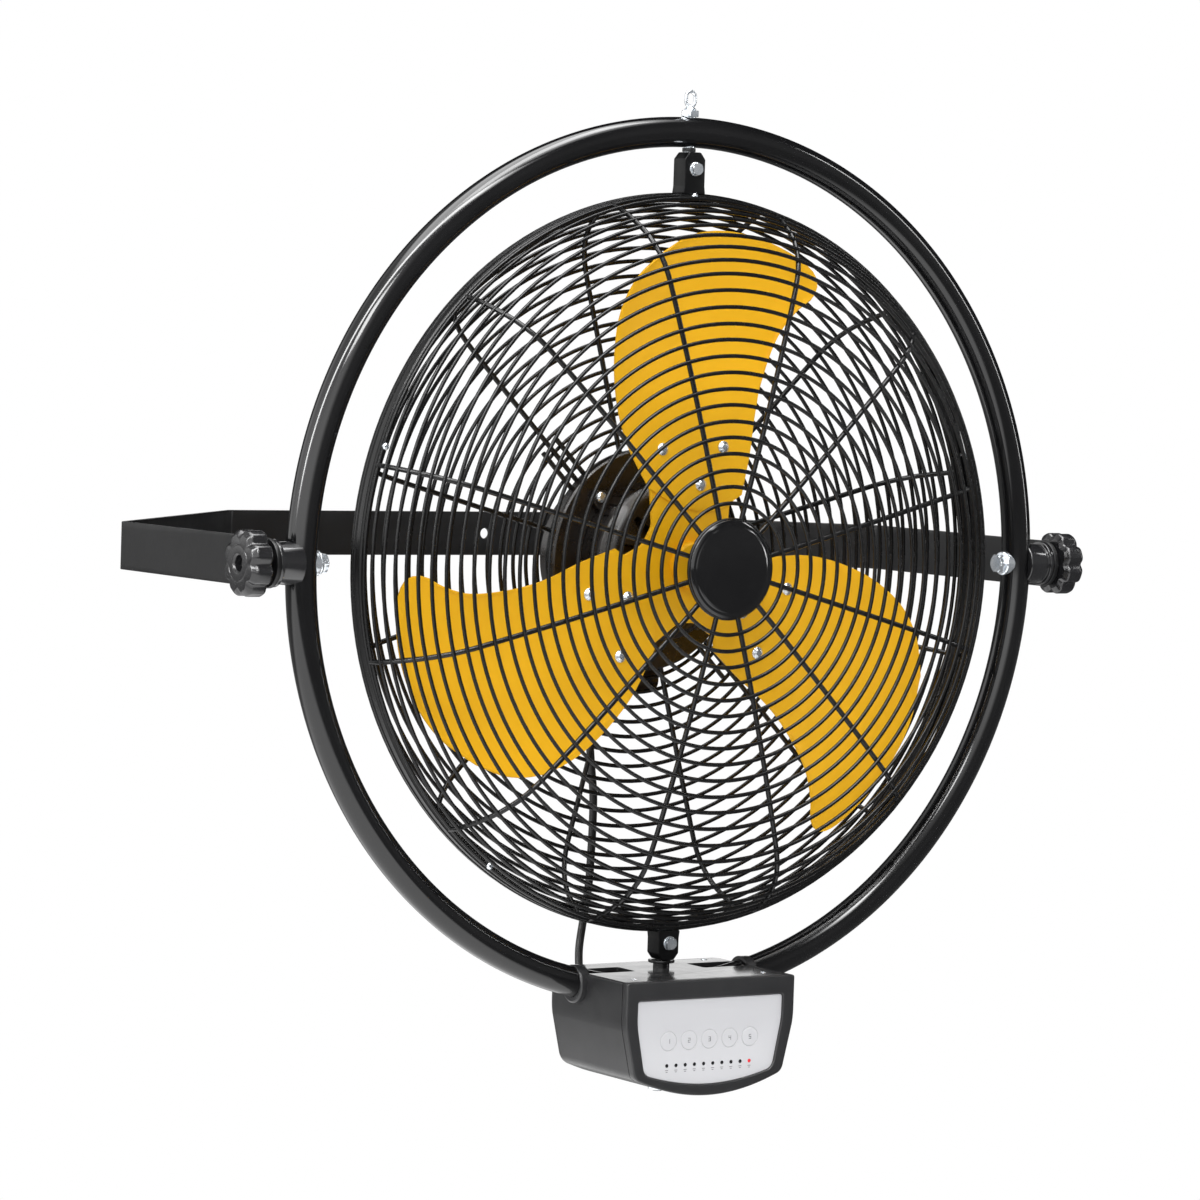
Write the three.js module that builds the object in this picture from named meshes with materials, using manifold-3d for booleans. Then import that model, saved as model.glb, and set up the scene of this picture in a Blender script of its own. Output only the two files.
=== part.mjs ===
// Wall mounted fan: a guarded three-blade head hung top and bottom in a round tube ring,
// a control box on the ring's foot, and a U-shaped strap bracket that carries the ring
// on two clamp knobs.
//
// Units are millimetres, +Z is up. The origin is on the wall, in the middle of the bracket's
// base. The fan stands out from the wall along -Y and blows that way; +X is to the right of
// someone who looks at its face. Inside the "tilting" group the origin is the centre of the
// ring, where the tilt axis (X), the swing axis (Z) and the shaft axis (Y) meet.
import * as THREE from 'three';
import { mergeVertices } from 'three/addons/utils/BufferGeometryUtils.js';
import Module from 'manifold-3d';

// ------------------------------------------------------------------ driving dimensions
const CLEAR = 0.3;            // running and seating clearance between touching pieces

const PIVOT_TO_WALL = 400;    // wall face to the tilt axis
const STRAP_HEIGHT = 35;      // bracket strap, along Z
const STRAP_THICK = 3.6;
const STRAP_BEND = 9;         // outer radius of the strap's bends
const ARM_LENGTH = 217;       // straight arm, from the tilt axis back to its bend
const BASE_HALF = 153;        // half the flat base on the wall
const WALL_HOLE_D = 8.5;
const WALL_HOLE_X = 82;       // wall screw holes, either side of the middle

const RING_R = 314;           // centre line of the ring
const TUBE_D = 22;
const RING_STEPS = 48;
const TUBE_SIDES = 10;
const TILT_BOLT_D = 8;
const COLLAR_D = 33.5;        // saddle collar between the ring and the arm
const COLLAR_LENGTH = 13.5;   // from the tube's outer side to the arm
const TILT_HEAD_AF = 13;
const TILT_HEAD_THICK = 5.5;
const TILT_FLANGE_D = 18;

const KNOB_D = 48;
const KNOB_LOBES = 8;
const KNOB_LOBE = 2.3;        // depth of the finger grooves
const KNOB_THICK = 18;
const KNOB_STEM_D = 20;
const KNOB_STEM = 4;
const KNOB_BORE_DEPTH = 13;

const RIM_GAP = 44;           // ring's centre line to the outside of the guard's rim
const RIM_WIDTH = 12.4;
const RIM_WALL = 2;
const RIM_LIP = 5;            // how far the rim's two lips reach inward
const LIP_THICK = 1.6;
const RIM_BACK = 6.5;         // back edge of the rim behind the ring's plane
const RIM_STEPS = 40;
const SPOKES = 12;
const WIRE_W = 3;             // guard ring wire
const SPOKE_W = 4;            // guard spoke wire
const WIRE_PITCH = 14.6;
const FRONT_DEPTH = 62.1;     // rim's front edge to the guard's flat front
const FRONT_SHOULDER = 70;    // width of the round shoulder, from the rim to the flat front
const FRONT_INNER_R = 30;
const REAR_DEPTH = 39.8;      // rim's back edge to the guard's flat back
const REAR_SHOULDER = 36;
const REAR_INNER_R = 80;
const BADGE_D = 72;
const BADGE_THICK = 4.6;

const BLADES = 3;
const TIP_GAP = 22;           // rim's outside to the circle that the blade tips sweep
const BLADE_THICK = 1.5;
const BLADE_Y = -20.5;        // front face of the blades' roots
const BLADE_CAMBER = 9;
const BLADE_PITCH = 0.05;     // rise of the blade across its chord
const SPIDER_THICK = 3;
const SPIDER_R = 40;
const SPIDER_REACH = 96;      // outer ends of the spider's three arms
const SHAFT_D = 12;
const HUB_D = 34;
const HUB_LENGTH = 19;

const MOTOR_R = 58;
const MOTOR_FRONT = 2;        // front of the motor's bell, behind the ring's plane
const PLATE_FRONT = 37;       // front of the motor's rear plate
const PLATE_R = 82;
const PLATE_THICK = 9;
const CAN_R = 62;             // rear can behind the plate
const CAN_BACK = 95;
const BELL_SLOTS = 12;
const EAR_R = 66;             // screw circle of the motor's four ears
const EAR_THICK = 6;
const TERMINAL_W = 52;
const TERMINAL_D = 34;
const TERMINAL_REACH = 100;   // bottom of the terminal box below the shaft axis
const TERMINAL_FRONT = 54;

const BRACKET_W = 19.4;       // head's pivot brackets, across
const BRACKET_D = 18;         // front to back
const BRACKET_FLARE = 2;
const BRACKET_WALL = 2.5;
const PIVOT_GAP_TOP = 3.5;    // top bracket to the tube's inner side
const TOP_BUSH_D = 9.8;
const CROSS_BOLT_D = 6;
const CROSS_BOLT_AF = 9.4;
const CROSS_BOLT_HEAD = 4;
const EYE_SHANK_D = 8;
const EYE_NUT_AF = 12;
const EYE_NUT_H = 4.5;
const EYE_W = 10.4;           // outside width of the safety eye
const EYE_H = 13.6;
const EYE_WIRE = 2.6;
const LOCK_NUT_H = 4;
const LOCK_NUT_AF = 10.8;

const BOX_RISE = 5.7;         // box's top above the inner side of the tube
const BOX_HALF = 73.2;        // half width at the top
const BOX_UPRIGHT = 30.7;     // top to where the sides begin to taper
const BOX_FOOT_HALF = 64.3;   // half width at the bottom corners
const BOX_SIDE = 70.7;        // top to the bottom corners
const BOX_HEIGHT = 84.7;      // top to the lowest point of the arched bottom
const BOX_FRONT = -67;
const BOX_BACK = 39;
const BOX_WALL = 3;
const BEZEL_DEPTH = 6.7;
const BOSS_D = 28;            // tube bosses on the box's sides
const BOSS_OUT = 5;
const SLOT_FROM = 30;         // slots in the box's top over the tube
const SLOT_HALF = 12;
const PANEL_INSET = 10;
const PANEL_TOP_INSET = 13.6;
const PANEL_BOTTOM_INSET = 8.2;
const PANEL_RECESS = 1.4;
const PANEL_THICK = 5.6;
const PANEL_FLANGE = 2;
const BUTTONS = 5;
const BUTTON_D = 13.5;
const BUTTON_PITCH = 17.8;
const BUTTON_DROP = 43.7;     // box's top to the row of buttons
const BUTTON_PROUD = 0.4;
const BUTTON_TRAVEL = 0.8;
const PCB_THICK = 1.6;
const PCB_WIDTH = 100;
const PCB_HEIGHT = 44;
const PCB_DROP = 23.7;        // box's top to the board's upper edge
const PCB_GAP = 4.3;          // panel's back to the circuit board
const PIVOT_SHAFT_D = 10;
const PIVOT_NECK_D = 12;
const PIVOT_FLANGE_D = 19.5;
const PIVOT_END_D = 8;
const END_NUT_AF = 13;
const END_NUT_H = 5;

const CRANK_R = 16;           // throw of the swing drive
const CRANK_SPAN = 38;        // between the drive's axis and the head's axis
const CRANK_PIN_D = 5;
const CRANK_DROP = 32.7;      // box's top to the crank
const CRANK_THICK = 4;
const LINK_THICK = 3.5;
const GEARMOTOR_D = 40;
const GEARMOTOR_H = 18;
const GEARMOTOR_DROP = 50.7;

const LEAD_D = 6;
const GLAND_D = 14;
const GLAND_LENGTH = 8;
const LEAD_X = -20;           // where the motor lead leaves the terminal box
const LEAD_Y = 72;
const INLET_X = -15;          // where it enters the control box
const INLET_DROP = 42.7;
const MAINS_X = 34;           // inlet for the mains cord

// ------------------------------------------------------------------ derived places
const TUBE_R = TUBE_D / 2;
const RING_OUT = RING_R + TUBE_R;
const RING_IN = RING_R - TUBE_R;
// how far the ring's straight facets cut inside its true curve, at a distance off the joint
const facet = (off) => off * Math.tan(Math.PI / RING_STEPS);
const ARM_IN = RING_OUT + COLLAR_LENGTH + CLEAR;
const ARM_OUT = ARM_IN + STRAP_THICK;
const RIM_R = RING_R - RIM_GAP;
const FRONT_FLAT_R = RIM_R - FRONT_SHOULDER;
const REAR_FLAT_R = RIM_R - REAR_SHOULDER;
const BLADE_R = RIM_R - TIP_GAP;
const BOX_TOP = BOX_RISE - RING_IN;
const BOX_SHOULDER = BOX_TOP - BOX_UPRIGHT;
const BOX_FOOT = BOX_TOP - BOX_SIDE;
const BOX_BOTTOM = BOX_TOP - BOX_HEIGHT;
const BUTTON_Z = BOX_TOP - BUTTON_DROP;
const CRANK_TOP = BOX_TOP - CRANK_DROP;
const GEARMOTOR_TOP = BOX_TOP - GEARMOTOR_DROP;
const INLET_Z = BOX_TOP - INLET_DROP;
const RIM_FRONT = RIM_BACK - RIM_WIDTH;
const FRONT_FACE = RIM_FRONT - FRONT_DEPTH;   // base of the front wires
const REAR_FACE = RIM_BACK + REAR_DEPTH;      // base of the rear wires
const PLATE_BACK = PLATE_FRONT + PLATE_THICK;
const SPIDER_Y = BLADE_Y + BLADE_THICK + CLEAR;
const PANEL_FRONT = BOX_FRONT + PANEL_RECESS;
const PANEL_BACK = PANEL_FRONT + PANEL_THICK + PANEL_FLANGE;
const PCB_FRONT = PANEL_BACK + PCB_GAP;
const SHELL_FRONT = BOX_FRONT + BEZEL_DEPTH + CLEAR;

// ------------------------------------------------------------------ solid helpers
const wasm = await Module();
wasm.setup();

// Merge shared corners and drop the flat triangles that a revolve leaves on its axis.
function welded(geometry) {
  let g = geometry.clone();
  g.deleteAttribute('normal');
  g.deleteAttribute('uv');
  g = mergeVertices(g, 1e-4);
  const index = g.getIndex().array;
  const keep = [];
  for (let i = 0; i < index.length; i += 3) {
    const [a, b, c] = [index[i], index[i + 1], index[i + 2]];
    if (a !== b && b !== c && c !== a) keep.push(a, b, c);
  }
  g.setIndex(keep);
  return g;
}

function solid(geometry) {
  const g = welded(geometry);
  return new wasm.Manifold(new wasm.Mesh({
    numProp: 3,
    vertProperties: new Float32Array(g.getAttribute('position').array),
    triVerts: new Uint32Array(g.getIndex().array),
  }));
}

function surface(manifold) {
  const mesh = manifold.getMesh();
  const g = new THREE.BufferGeometry();
  g.setAttribute('position', new THREE.BufferAttribute(new Float32Array(mesh.vertProperties), 3));
  g.setIndex(Array.from(mesh.triVerts));
  g.computeVertexNormals();
  return g;
}

const join = (...parts) => parts.reduce((a, b) => a.add(b));
const cut = (body, ...tools) => tools.reduce((a, b) => a.subtract(b), body);
const at = (geometry, x, y, z) => geometry.translate(x, y, z);

// Cylinders between two stations of one axis, through (a, b) in the other two.
function rodX(d, x0, x1, y = 0, z = 0, sides = 16) {
  const g = new THREE.CylinderGeometry(d / 2, d / 2, x1 - x0, sides).rotateZ(-Math.PI / 2);
  return at(g, (x0 + x1) / 2, y, z);
}
function rodY(d, y0, y1, x = 0, z = 0, sides = 16) {
  return at(new THREE.CylinderGeometry(d / 2, d / 2, y1 - y0, sides), x, (y0 + y1) / 2, z);
}
function rodZ(d, z0, z1, x = 0, y = 0, sides = 16) {
  const g = new THREE.CylinderGeometry(d / 2, d / 2, z1 - z0, sides).rotateX(Math.PI / 2);
  return at(g, x, y, (z0 + z1) / 2);
}
function box(x0, x1, y0, y1, z0, z1) {
  const g = new THREE.BoxGeometry(x1 - x0, y1 - y0, z1 - z0);
  return at(g, (x0 + x1) / 2, (y0 + y1) / 2, (z0 + z1) / 2);
}
const hexD = (af) => af / Math.cos(Math.PI / 6);

// Revolve a list of [radius, height] pairs. The profile runs counter-clockwise round the
// section, starting and ending on the axis or closing on itself.
function revolve(profile, steps) {
  const pts = profile.map(([r, h]) => new THREE.Vector2(r, h));
  let area = 0;
  pts.forEach((p, i) => {
    const q = pts[(i + 1) % pts.length];
    area += p.x * q.y - q.x * p.y;
  });
  if (area < 0) pts.reverse();
  return new THREE.LatheGeometry(pts, steps);
}
const revolveY = (profile, steps) => revolve(profile, steps);
const revolveZ = (profile, steps) => revolve(profile, steps).rotateX(Math.PI / 2);
const closed = (profile) => [...profile, profile[0]];

// Extrude a shape drawn in X and Z from y0 back to y1.
function slabY(shape, y0, y1, segments = 4) {
  const g = new THREE.ExtrudeGeometry(shape, {
    depth: y1 - y0, bevelEnabled: false, curveSegments: segments,
  });
  return at(g.rotateX(Math.PI / 2), 0, y0 + (y1 - y0), 0);
}
// Extrude a shape drawn in X and Y from z0 up to z1.
function slabZ(shape, z0, z1) {
  const g = new THREE.ExtrudeGeometry(shape, {
    depth: z1 - z0, bevelEnabled: false,
  });
  return at(g, 0, 0, z0);
}
const polygon = (pts) => new THREE.Shape(pts.map(([x, y]) => new THREE.Vector2(x, y)));

// A straight bar with round ends, drawn in X and Y.
function barShape(x0, y0, x1, y1, r, steps = 5) {
  const along = Math.atan2(y1 - y0, x1 - x0);
  const pts = [];
  for (let i = 0; i <= steps; i++) {
    const a = along - Math.PI / 2 + (Math.PI * i) / steps;
    pts.push([x1 + r * Math.cos(a), y1 + r * Math.sin(a)]);
  }
  for (let i = 0; i <= steps; i++) {
    const a = along + Math.PI / 2 + (Math.PI * i) / steps;
    pts.push([x0 + r * Math.cos(a), y0 + r * Math.sin(a)]);
  }
  return polygon(pts);
}

// Skin a stack of equal-sized point rings and close both ends with a fan.
function loft(rings) {
  const n = rings[0].length;
  const pos = rings.flat().flatMap((p) => p);
  const index = [];
  for (let k = 0; k + 1 < rings.length; k++) {
    for (let i = 0; i < n; i++) {
      const j = (i + 1) % n;
      const [a, b, c, d] = [k * n + i, k * n + j, (k + 1) * n + j, (k + 1) * n + i];
      index.push(a, b, c, a, c, d);
    }
  }
  const cap = (k, flip) => {
    const mid = [0, 1, 2].map((m) => rings[k].reduce((s, p) => s + p[m], 0) / n);
    const centre = pos.length / 3;
    pos.push(...mid);
    for (let i = 0; i < n; i++) {
      const [a, b] = [k * n + i, k * n + ((i + 1) % n)];
      index.push(...(flip ? [b, a, centre] : [a, b, centre]));
    }
  };
  cap(0, true);
  cap(rings.length - 1, false);
  return outward(pos, index);
}

// Build a geometry from loose arrays and turn it the right way out.
function outward(pos, index) {
  let volume = 0;
  const v = (i) => new THREE.Vector3(pos[3 * i], pos[3 * i + 1], pos[3 * i + 2]);
  for (let i = 0; i < index.length; i += 3) {
    volume += v(index[i]).dot(v(index[i + 1]).cross(v(index[i + 2])));
  }
  const turned = [];
  for (let i = 0; i < index.length; i += 3) {
    const [a, b, c] = [index[i], index[i + 1], index[i + 2]];
    turned.push(...(volume < 0 ? [a, c, b] : [a, b, c]));
  }
  const g = new THREE.BufferGeometry();
  g.setAttribute('position', new THREE.Float32BufferAttribute(pos, 3));
  g.setIndex(turned);
  g.computeVertexNormals();
  return g;
}

// ------------------------------------------------------------------ finishes
const FINISH = {
  powder: [0x1d1d1f, 0.42, 0.35],
  wire: [0x17171a, 0.4, 0.4],
  yellow: [0xeba51a, 0.45, 0.15],
  zinc: [0xc4cace, 0.28, 0.95],
  plastic: [0x26262a, 0.5, 0.0],
  gloss: [0x141416, 0.2, 0.0],
  panel: [0xd4d5d8, 0.45, 0.0],
  motor: [0x121214, 0.5, 0.3],
  lead: [0x101012, 0.6, 0.0],
  board: [0x1f5a3a, 0.6, 0.0],
};
function mesh(name, geometry, finish) {
  const [color, roughness, metalness] = FINISH[finish];
  const m = new THREE.Mesh(geometry, new THREE.MeshStandardMaterial({
    color, roughness, metalness,
  }));
  m.name = name;
  return m;
}

// ------------------------------------------------------------------ wall bracket
// A flat strip bent on edge: the outer face runs through the given points and every corner
// gets the bend radius outside and that radius less the thickness inside.
function bentStrip(path, thick, bend, steps = 3) {
  const outer = [];
  const inner = [];
  const dir = (a, b) => {
    const l = Math.hypot(b[0] - a[0], b[1] - a[1]);
    return [(b[0] - a[0]) / l, (b[1] - a[1]) / l];
  };
  path.forEach((p, i) => {
    if (i === 0 || i === path.length - 1) {
      const d = i === 0 ? dir(p, path[1]) : dir(path[i - 1], p);
      outer.push(p);
      inner.push([p[0] - d[1] * thick, p[1] + d[0] * thick]);
      return;
    }
    const d0 = dir(path[i - 1], p);
    const d1 = dir(p, path[i + 1]);
    const turn = Math.atan2(d0[0] * d1[1] - d0[1] * d1[0], d0[0] * d1[0] + d0[1] * d1[1]);
    const back = bend * Math.tan(turn / 2);
    const start = [p[0] - d0[0] * back, p[1] - d0[1] * back];
    const centre = [start[0] - d0[1] * bend, start[1] + d0[0] * bend];
    for (let k = 0; k <= steps; k++) {
      const a = Math.atan2(start[1] - centre[1], start[0] - centre[0]) + (turn * k) / steps;
      outer.push([centre[0] + bend * Math.cos(a), centre[1] + bend * Math.sin(a)]);
      const r = bend - thick;
      inner.push([centre[0] + r * Math.cos(a), centre[1] + r * Math.sin(a)]);
    }
  });
  return polygon([...outer, ...inner.reverse()]);
}

function bracketStrap() {
  const bendY = -PIVOT_TO_WALL + ARM_LENGTH;
  const path = [
    [ARM_OUT, -PIVOT_TO_WALL], [ARM_OUT, bendY], [BASE_HALF, 0],
    [-BASE_HALF, 0], [-ARM_OUT, bendY], [-ARM_OUT, -PIVOT_TO_WALL],
  ];
  const half = STRAP_HEIGHT / 2;
  let strap = solid(slabZ(bentStrip(path, STRAP_THICK, STRAP_BEND), -half, half));
  for (const side of [-1, 1]) {
    const [x0, x1] = side > 0 ? [ARM_IN, ARM_OUT] : [-ARM_OUT, -ARM_IN];
    strap = strap.add(solid(rodX(STRAP_HEIGHT, x0, x1, -PIVOT_TO_WALL, 0, 20)));
    strap = strap.subtract(solid(
      rodX(TILT_BOLT_D + 2 * CLEAR, x0 - 1, x1 + 1, -PIVOT_TO_WALL, 0, 10)));
    strap = strap.subtract(solid(
      rodY(WALL_HOLE_D, -STRAP_THICK - 1, 1, side * WALL_HOLE_X, 0, 12)));
  }
  return surface(strap);
}

// ------------------------------------------------------------------ ring and tilt joint
const ringSolid = (extra) => solid(
  new THREE.TorusGeometry(RING_R, TUBE_R + extra, TUBE_SIDES, RING_STEPS)
    .rotateX(Math.PI / 2));

function ringTube() {
  const tilt = TILT_BOLT_D + 2 * CLEAR;
  return surface(cut(
    ringSolid(0),
    solid(rodX(tilt, RING_IN - 5, RING_OUT + 5, 0, 0, 10)),
    solid(rodX(tilt, -RING_OUT - 5, -RING_IN + 5, 0, 0, 10)),
    solid(rodZ(EYE_SHANK_D + 2 * CLEAR, RING_IN - 5, RING_OUT + 5, 0, 0, 10)),
    solid(rodZ(PIVOT_SHAFT_D + 2 * CLEAR, -RING_OUT - 5, -RING_IN + 5, 0, 0, 10)),
  ));
}

// Flanged hex bolt from inside the ring out through tube, collar, arm and knob.
function tiltBolt() {
  const seat = RING_IN - CLEAR - facet(TILT_FLANGE_D / 2);
  const flange = 1.6;
  return surface(join(
    solid(rodX(TILT_FLANGE_D, seat - flange, seat, 0, 0, 16)),
    solid(rodX(hexD(TILT_HEAD_AF), seat - flange - TILT_HEAD_THICK, seat - flange, 0, 0, 6)),
    solid(rodX(TILT_BOLT_D, seat - 1, ARM_OUT + CLEAR + KNOB_BORE_DEPTH - 1, 0, 0, 10)),
  ));
}

// Collar with a saddle end that straddles the tube.
function collar() {
  const body = solid(rodX(COLLAR_D, RING_R + 4, ARM_IN - CLEAR, 0, 0, 20));
  return surface(cut(
    body,
    solid(rodZ(TUBE_D + 4 * CLEAR, -COLLAR_D, COLLAR_D, RING_R, 0, 16)),
    solid(rodX(TILT_BOLT_D + 2 * CLEAR, RING_R, ARM_IN + 5, 0, 0, 10)),
  ));
}

function knob() {
  const start = ARM_OUT + CLEAR;
  const grip = start + KNOB_STEM;
  const section = (x, scale, lobe) => {
    const n = KNOB_LOBES * 3;
    return Array.from({ length: n }, (_, i) => {
      const a = (2 * Math.PI * i) / n;
      const r = (KNOB_D / 2 - lobe + lobe * Math.cos(KNOB_LOBES * a)) * scale;
      return [x, r * Math.cos(a), r * Math.sin(a)];
    });
  };
  const body = solid(loft([
    section(grip, 0.86, KNOB_LOBE * 0.6),
    section(grip + KNOB_THICK * 0.14, 1, KNOB_LOBE),
    section(grip + KNOB_THICK * 0.68, 1, KNOB_LOBE),
    section(grip + KNOB_THICK * 0.86, 0.86, KNOB_LOBE * 0.6),
    section(grip + KNOB_THICK, 0.46, 0),
  ]));
  return surface(cut(
    join(body, solid(rodX(KNOB_STEM_D, start, grip + 2, 0, 0, 12))),
    solid(rodX(TILT_BOLT_D + 2 * CLEAR, start - 1, start + KNOB_BORE_DEPTH, 0, 0, 10)),
    solid(rodX(12, grip + KNOB_THICK - 1.8, grip + KNOB_THICK + 5, 0, 0, 10)),
  ));
}

// ------------------------------------------------------------------ top pivot
const TOP_PLATE = RING_IN - PIVOT_GAP_TOP;        // top of the head's upper bracket
const CROSS_TOP = TOP_PLATE - BRACKET_WALL - LOCK_NUT_H - CLEAR - CROSS_BOLT_D / 2 - 2.4;
const EYE_END = TOP_PLATE - BRACKET_WALL - CLEAR - LOCK_NUT_H;

function eyeBolt() {
  const foot = RING_OUT + CLEAR + EYE_NUT_H;
  const neck = foot + 1.6;
  const eye = new THREE.Shape();
  const inside = new THREE.Path();
  const trace = (path, w, h) => {
    const r = w / 2;
    path.absarc(0, neck + EYE_H - EYE_W / 2, r, 0, Math.PI, false);
    path.absarc(0, neck + EYE_W / 2, r, Math.PI, 2 * Math.PI, false);
  };
  trace(eye, EYE_W, EYE_H);
  trace(inside, EYE_W - 2 * EYE_WIRE, EYE_H - 2 * EYE_WIRE);
  eye.holes.push(inside);
  return surface(join(
    solid(slabY(eye, -EYE_WIRE / 2, EYE_WIRE / 2, 7)),
    solid(rodZ(EYE_SHANK_D, EYE_END, neck + EYE_WIRE * 0.7, 0, 0, 10)),
  ));
}

const hexNut = (af, bore, z0, z1) => surface(cut(
  solid(rodZ(hexD(af), z0, z1, 0, 0, 6)),
  solid(rodZ(bore, z0 - 1, z1 + 1, 0, 0, 10)),
));

// Folded bracket, open at the back: front plate, two cheeks, a foot and a bored end plate.
// rim is its seat, end its bored face; both are distances from the centre along sense.
function pivotBracket(sense, rim, end, bore, crossAt) {
  const w = BRACKET_W / 2;
  const foot = w + BRACKET_FLARE;
  const shape = polygon([
    [-foot, rim], [foot, rim], [w, rim + 5.5], [w, end - 5], [w * 0.52, end],
    [-w * 0.52, end], [-w, end - 5], [-w, rim + 5.5],
  ].map(([x, z]) => [x, z * sense]));
  const d = BRACKET_D / 2;
  const pocket = [rim + BRACKET_WALL, end - BRACKET_WALL].map((z) => z * sense);
  const [z0, z1] = [Math.min(...pocket), Math.max(...pocket)];
  const [e0, e1] = [Math.min(rim * sense, end * sense), Math.max(rim * sense, end * sense)];
  const [b0, b1] = sense > 0 ? [z1 - 1, e1 + 1] : [e0 - 1, z0 + 1];
  return surface(cut(
    solid(slabY(shape, -d, d)),
    solid(box(-w + BRACKET_WALL, w - BRACKET_WALL, -d + BRACKET_WALL, d + 1, z0, z1)),
    solid(rodZ(bore, b0, b1, 0, 0, 12)),
    solid(rodY(CROSS_BOLT_D + 2 * CLEAR, -d - 1, -d + BRACKET_WALL + 1, 0, crossAt * sense, 10)),
  ));
}

function crossBolt(z) {
  const face = -BRACKET_D / 2 - CLEAR;
  return surface(join(
    solid(rodY(hexD(CROSS_BOLT_AF), face - CROSS_BOLT_HEAD, face, 0, z, 6)),
    solid(rodY(CROSS_BOLT_D, face - 1, -2, 0, z, 10)),
  ));
}

// ------------------------------------------------------------------ wire guards
// A welded wire net on a surface of revolution: ring wires at every station of the profile
// and straight spokes across them. Each wire has a flat inside and a ridge outside, and the
// ridges meet at every crossing, so the whole guard is one closed body.
// profile: [radius, y] stations; out: +1 where the outside faces +Y, -1 where it faces -Y.
function wireNet(profile, out, coarseBelow) {
  const pos = [];
  const index = [];
  const quad = (a, b, c, d) => index.push(a, b, c, a, c, d);
  const put = (p) => { pos.push(...p); return pos.length / 3 - 1; };
  const stations = profile.map(([r, y], i) => {
    const [r0, y0] = profile[Math.max(0, i - 1)];
    const [r1, y1] = profile[Math.min(profile.length - 1, i + 1)];
    const l = Math.hypot(r1 - r0, y1 - y0);
    // the last wire lies flat on the rim's lip
    const last = i === profile.length - 1;
    const along = last ? [1, 0] : [(r1 - r0) / l, (y1 - y0) / l];
    const normal = out > 0 ? [-along[1], along[0]] : [along[1], -along[0]];
    return { r, y, along, normal };
  });
  // s steps along the profile, t round the ring, n out of the base
  const point = (st, angle, s, t, n) => {
    const r = st.r + st.along[0] * s + st.normal[0] * n;
    const y = st.y + st.along[1] * s + st.normal[1] * n;
    const [c, sn] = [Math.cos(angle), Math.sin(angle)];
    return [r * c - t * sn, y, r * sn + t * c];
  };
  const spokeAt = (k) => ((k + 0.5) * 2 * Math.PI) / SPOKES;
  const knots = stations.map((st) => Array.from({ length: SPOKES }, (_, k) => {
    const a = spokeAt(k);
    const [w, v] = [WIRE_W / 2, SPOKE_W / 2];
    return {
      c00: put(point(st, a, -w, -v, 0)), c01: put(point(st, a, -w, v, 0)),
      c11: put(point(st, a, w, v, 0)), c10: put(point(st, a, w, -v, 0)),
      apex: put(point(st, a, 0, 0, WIRE_W)),
    };
  }));
  stations.forEach((st, i) => {
    const parts = st.r < coarseBelow ? 1 : 2;
    for (let k = 0; k < SPOKES; k++) {
      const here = knots[i][k];
      const next = knots[i][(k + 1) % SPOKES];
      quad(here.c00, here.c01, here.c11, here.c10);
      if (i === 0) index.push(here.c00, here.apex, here.c01);
      if (i === stations.length - 1) index.push(here.c10, here.c11, here.apex);
      let from = { inner: here.c01, outer: here.c11, apex: here.apex };
      for (let m = 1; m <= parts; m++) {
        const a = spokeAt(k + m / parts);
        const to = m === parts
          ? { inner: next.c00, outer: next.c10, apex: next.apex }
          : {
            inner: put(point(st, a, -WIRE_W / 2, 0, 0)),
            outer: put(point(st, a, WIRE_W / 2, 0, 0)),
            apex: put(point(st, a, 0, 0, WIRE_W)),
          };
        quad(from.inner, to.inner, to.outer, from.outer);
        quad(from.inner, from.apex, to.apex, to.inner);
        quad(from.outer, to.outer, to.apex, from.apex);
        from = to;
      }
      if (i + 1 < stations.length) {
        const far = knots[i + 1][k];
        quad(here.c10, here.c11, far.c01, far.c00);
        quad(here.c10, far.c00, far.apex, here.apex);
        quad(here.c11, here.apex, far.apex, far.c01);
      }
    }
  });
  return outward(pos, index);
}

// Stations at even steps: a flat front out to flatR, then a rounded shoulder and a side wall
// that comes down onto the rim.
function guardProfile(innerR, flatR, seatR, face, seat, toward) {
  const depth = Math.abs(seat - face);
  const curve = new THREE.CatmullRomCurve3([
    [flatR, 0], [flatR + (seatR - flatR) * 0.36, depth * 0.07],
    [flatR + (seatR - flatR) * 0.64, depth * 0.26], [flatR + (seatR - flatR) * 0.84, depth * 0.55],
    [flatR + (seatR - flatR) * 0.96, depth * 0.79], [seatR, depth],
  ].map(([r, d]) => new THREE.Vector3(r, face + toward * d, 0)));
  const stations = [];
  const flats = Math.round((flatR - innerR) / WIRE_PITCH);
  for (let i = 0; i < flats; i++) {
    stations.push([innerR + ((flatR - innerR) * i) / flats, face]);
  }
  const steps = Math.round(curve.getLength() / WIRE_PITCH);
  for (let i = 0; i <= steps; i++) {
    const p = curve.getPointAt(i / steps);
    stations.push([p.x, p.y]);
  }
  return stations;
}

const SEAT_R = RIM_R - RIM_LIP / 2;   // ring wire that seats on the rim's lip
const frontGuard = () => wireNet(
  guardProfile(FRONT_INNER_R, FRONT_FLAT_R, SEAT_R, FRONT_FACE, RIM_FRONT - CLEAR, 1), -1, 150);
const rearGuard = () => wireNet(
  guardProfile(REAR_INNER_R, REAR_FLAT_R, SEAT_R, REAR_FACE, RIM_BACK + CLEAR, -1), 1, 150);

function guardRim() {
  const [a, b] = [RIM_FRONT, RIM_BACK];
  const [lip, wall] = [RIM_R - RIM_LIP, RIM_R - RIM_WALL];
  const thick = LIP_THICK;
  return welded(revolveY(closed([
    [lip, a], [RIM_R, a], [RIM_R, b], [lip, b], [lip, b - thick],
    [wall, b - thick], [wall, a + thick], [lip, a + thick],
  ]), RIM_STEPS));
}

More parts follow.
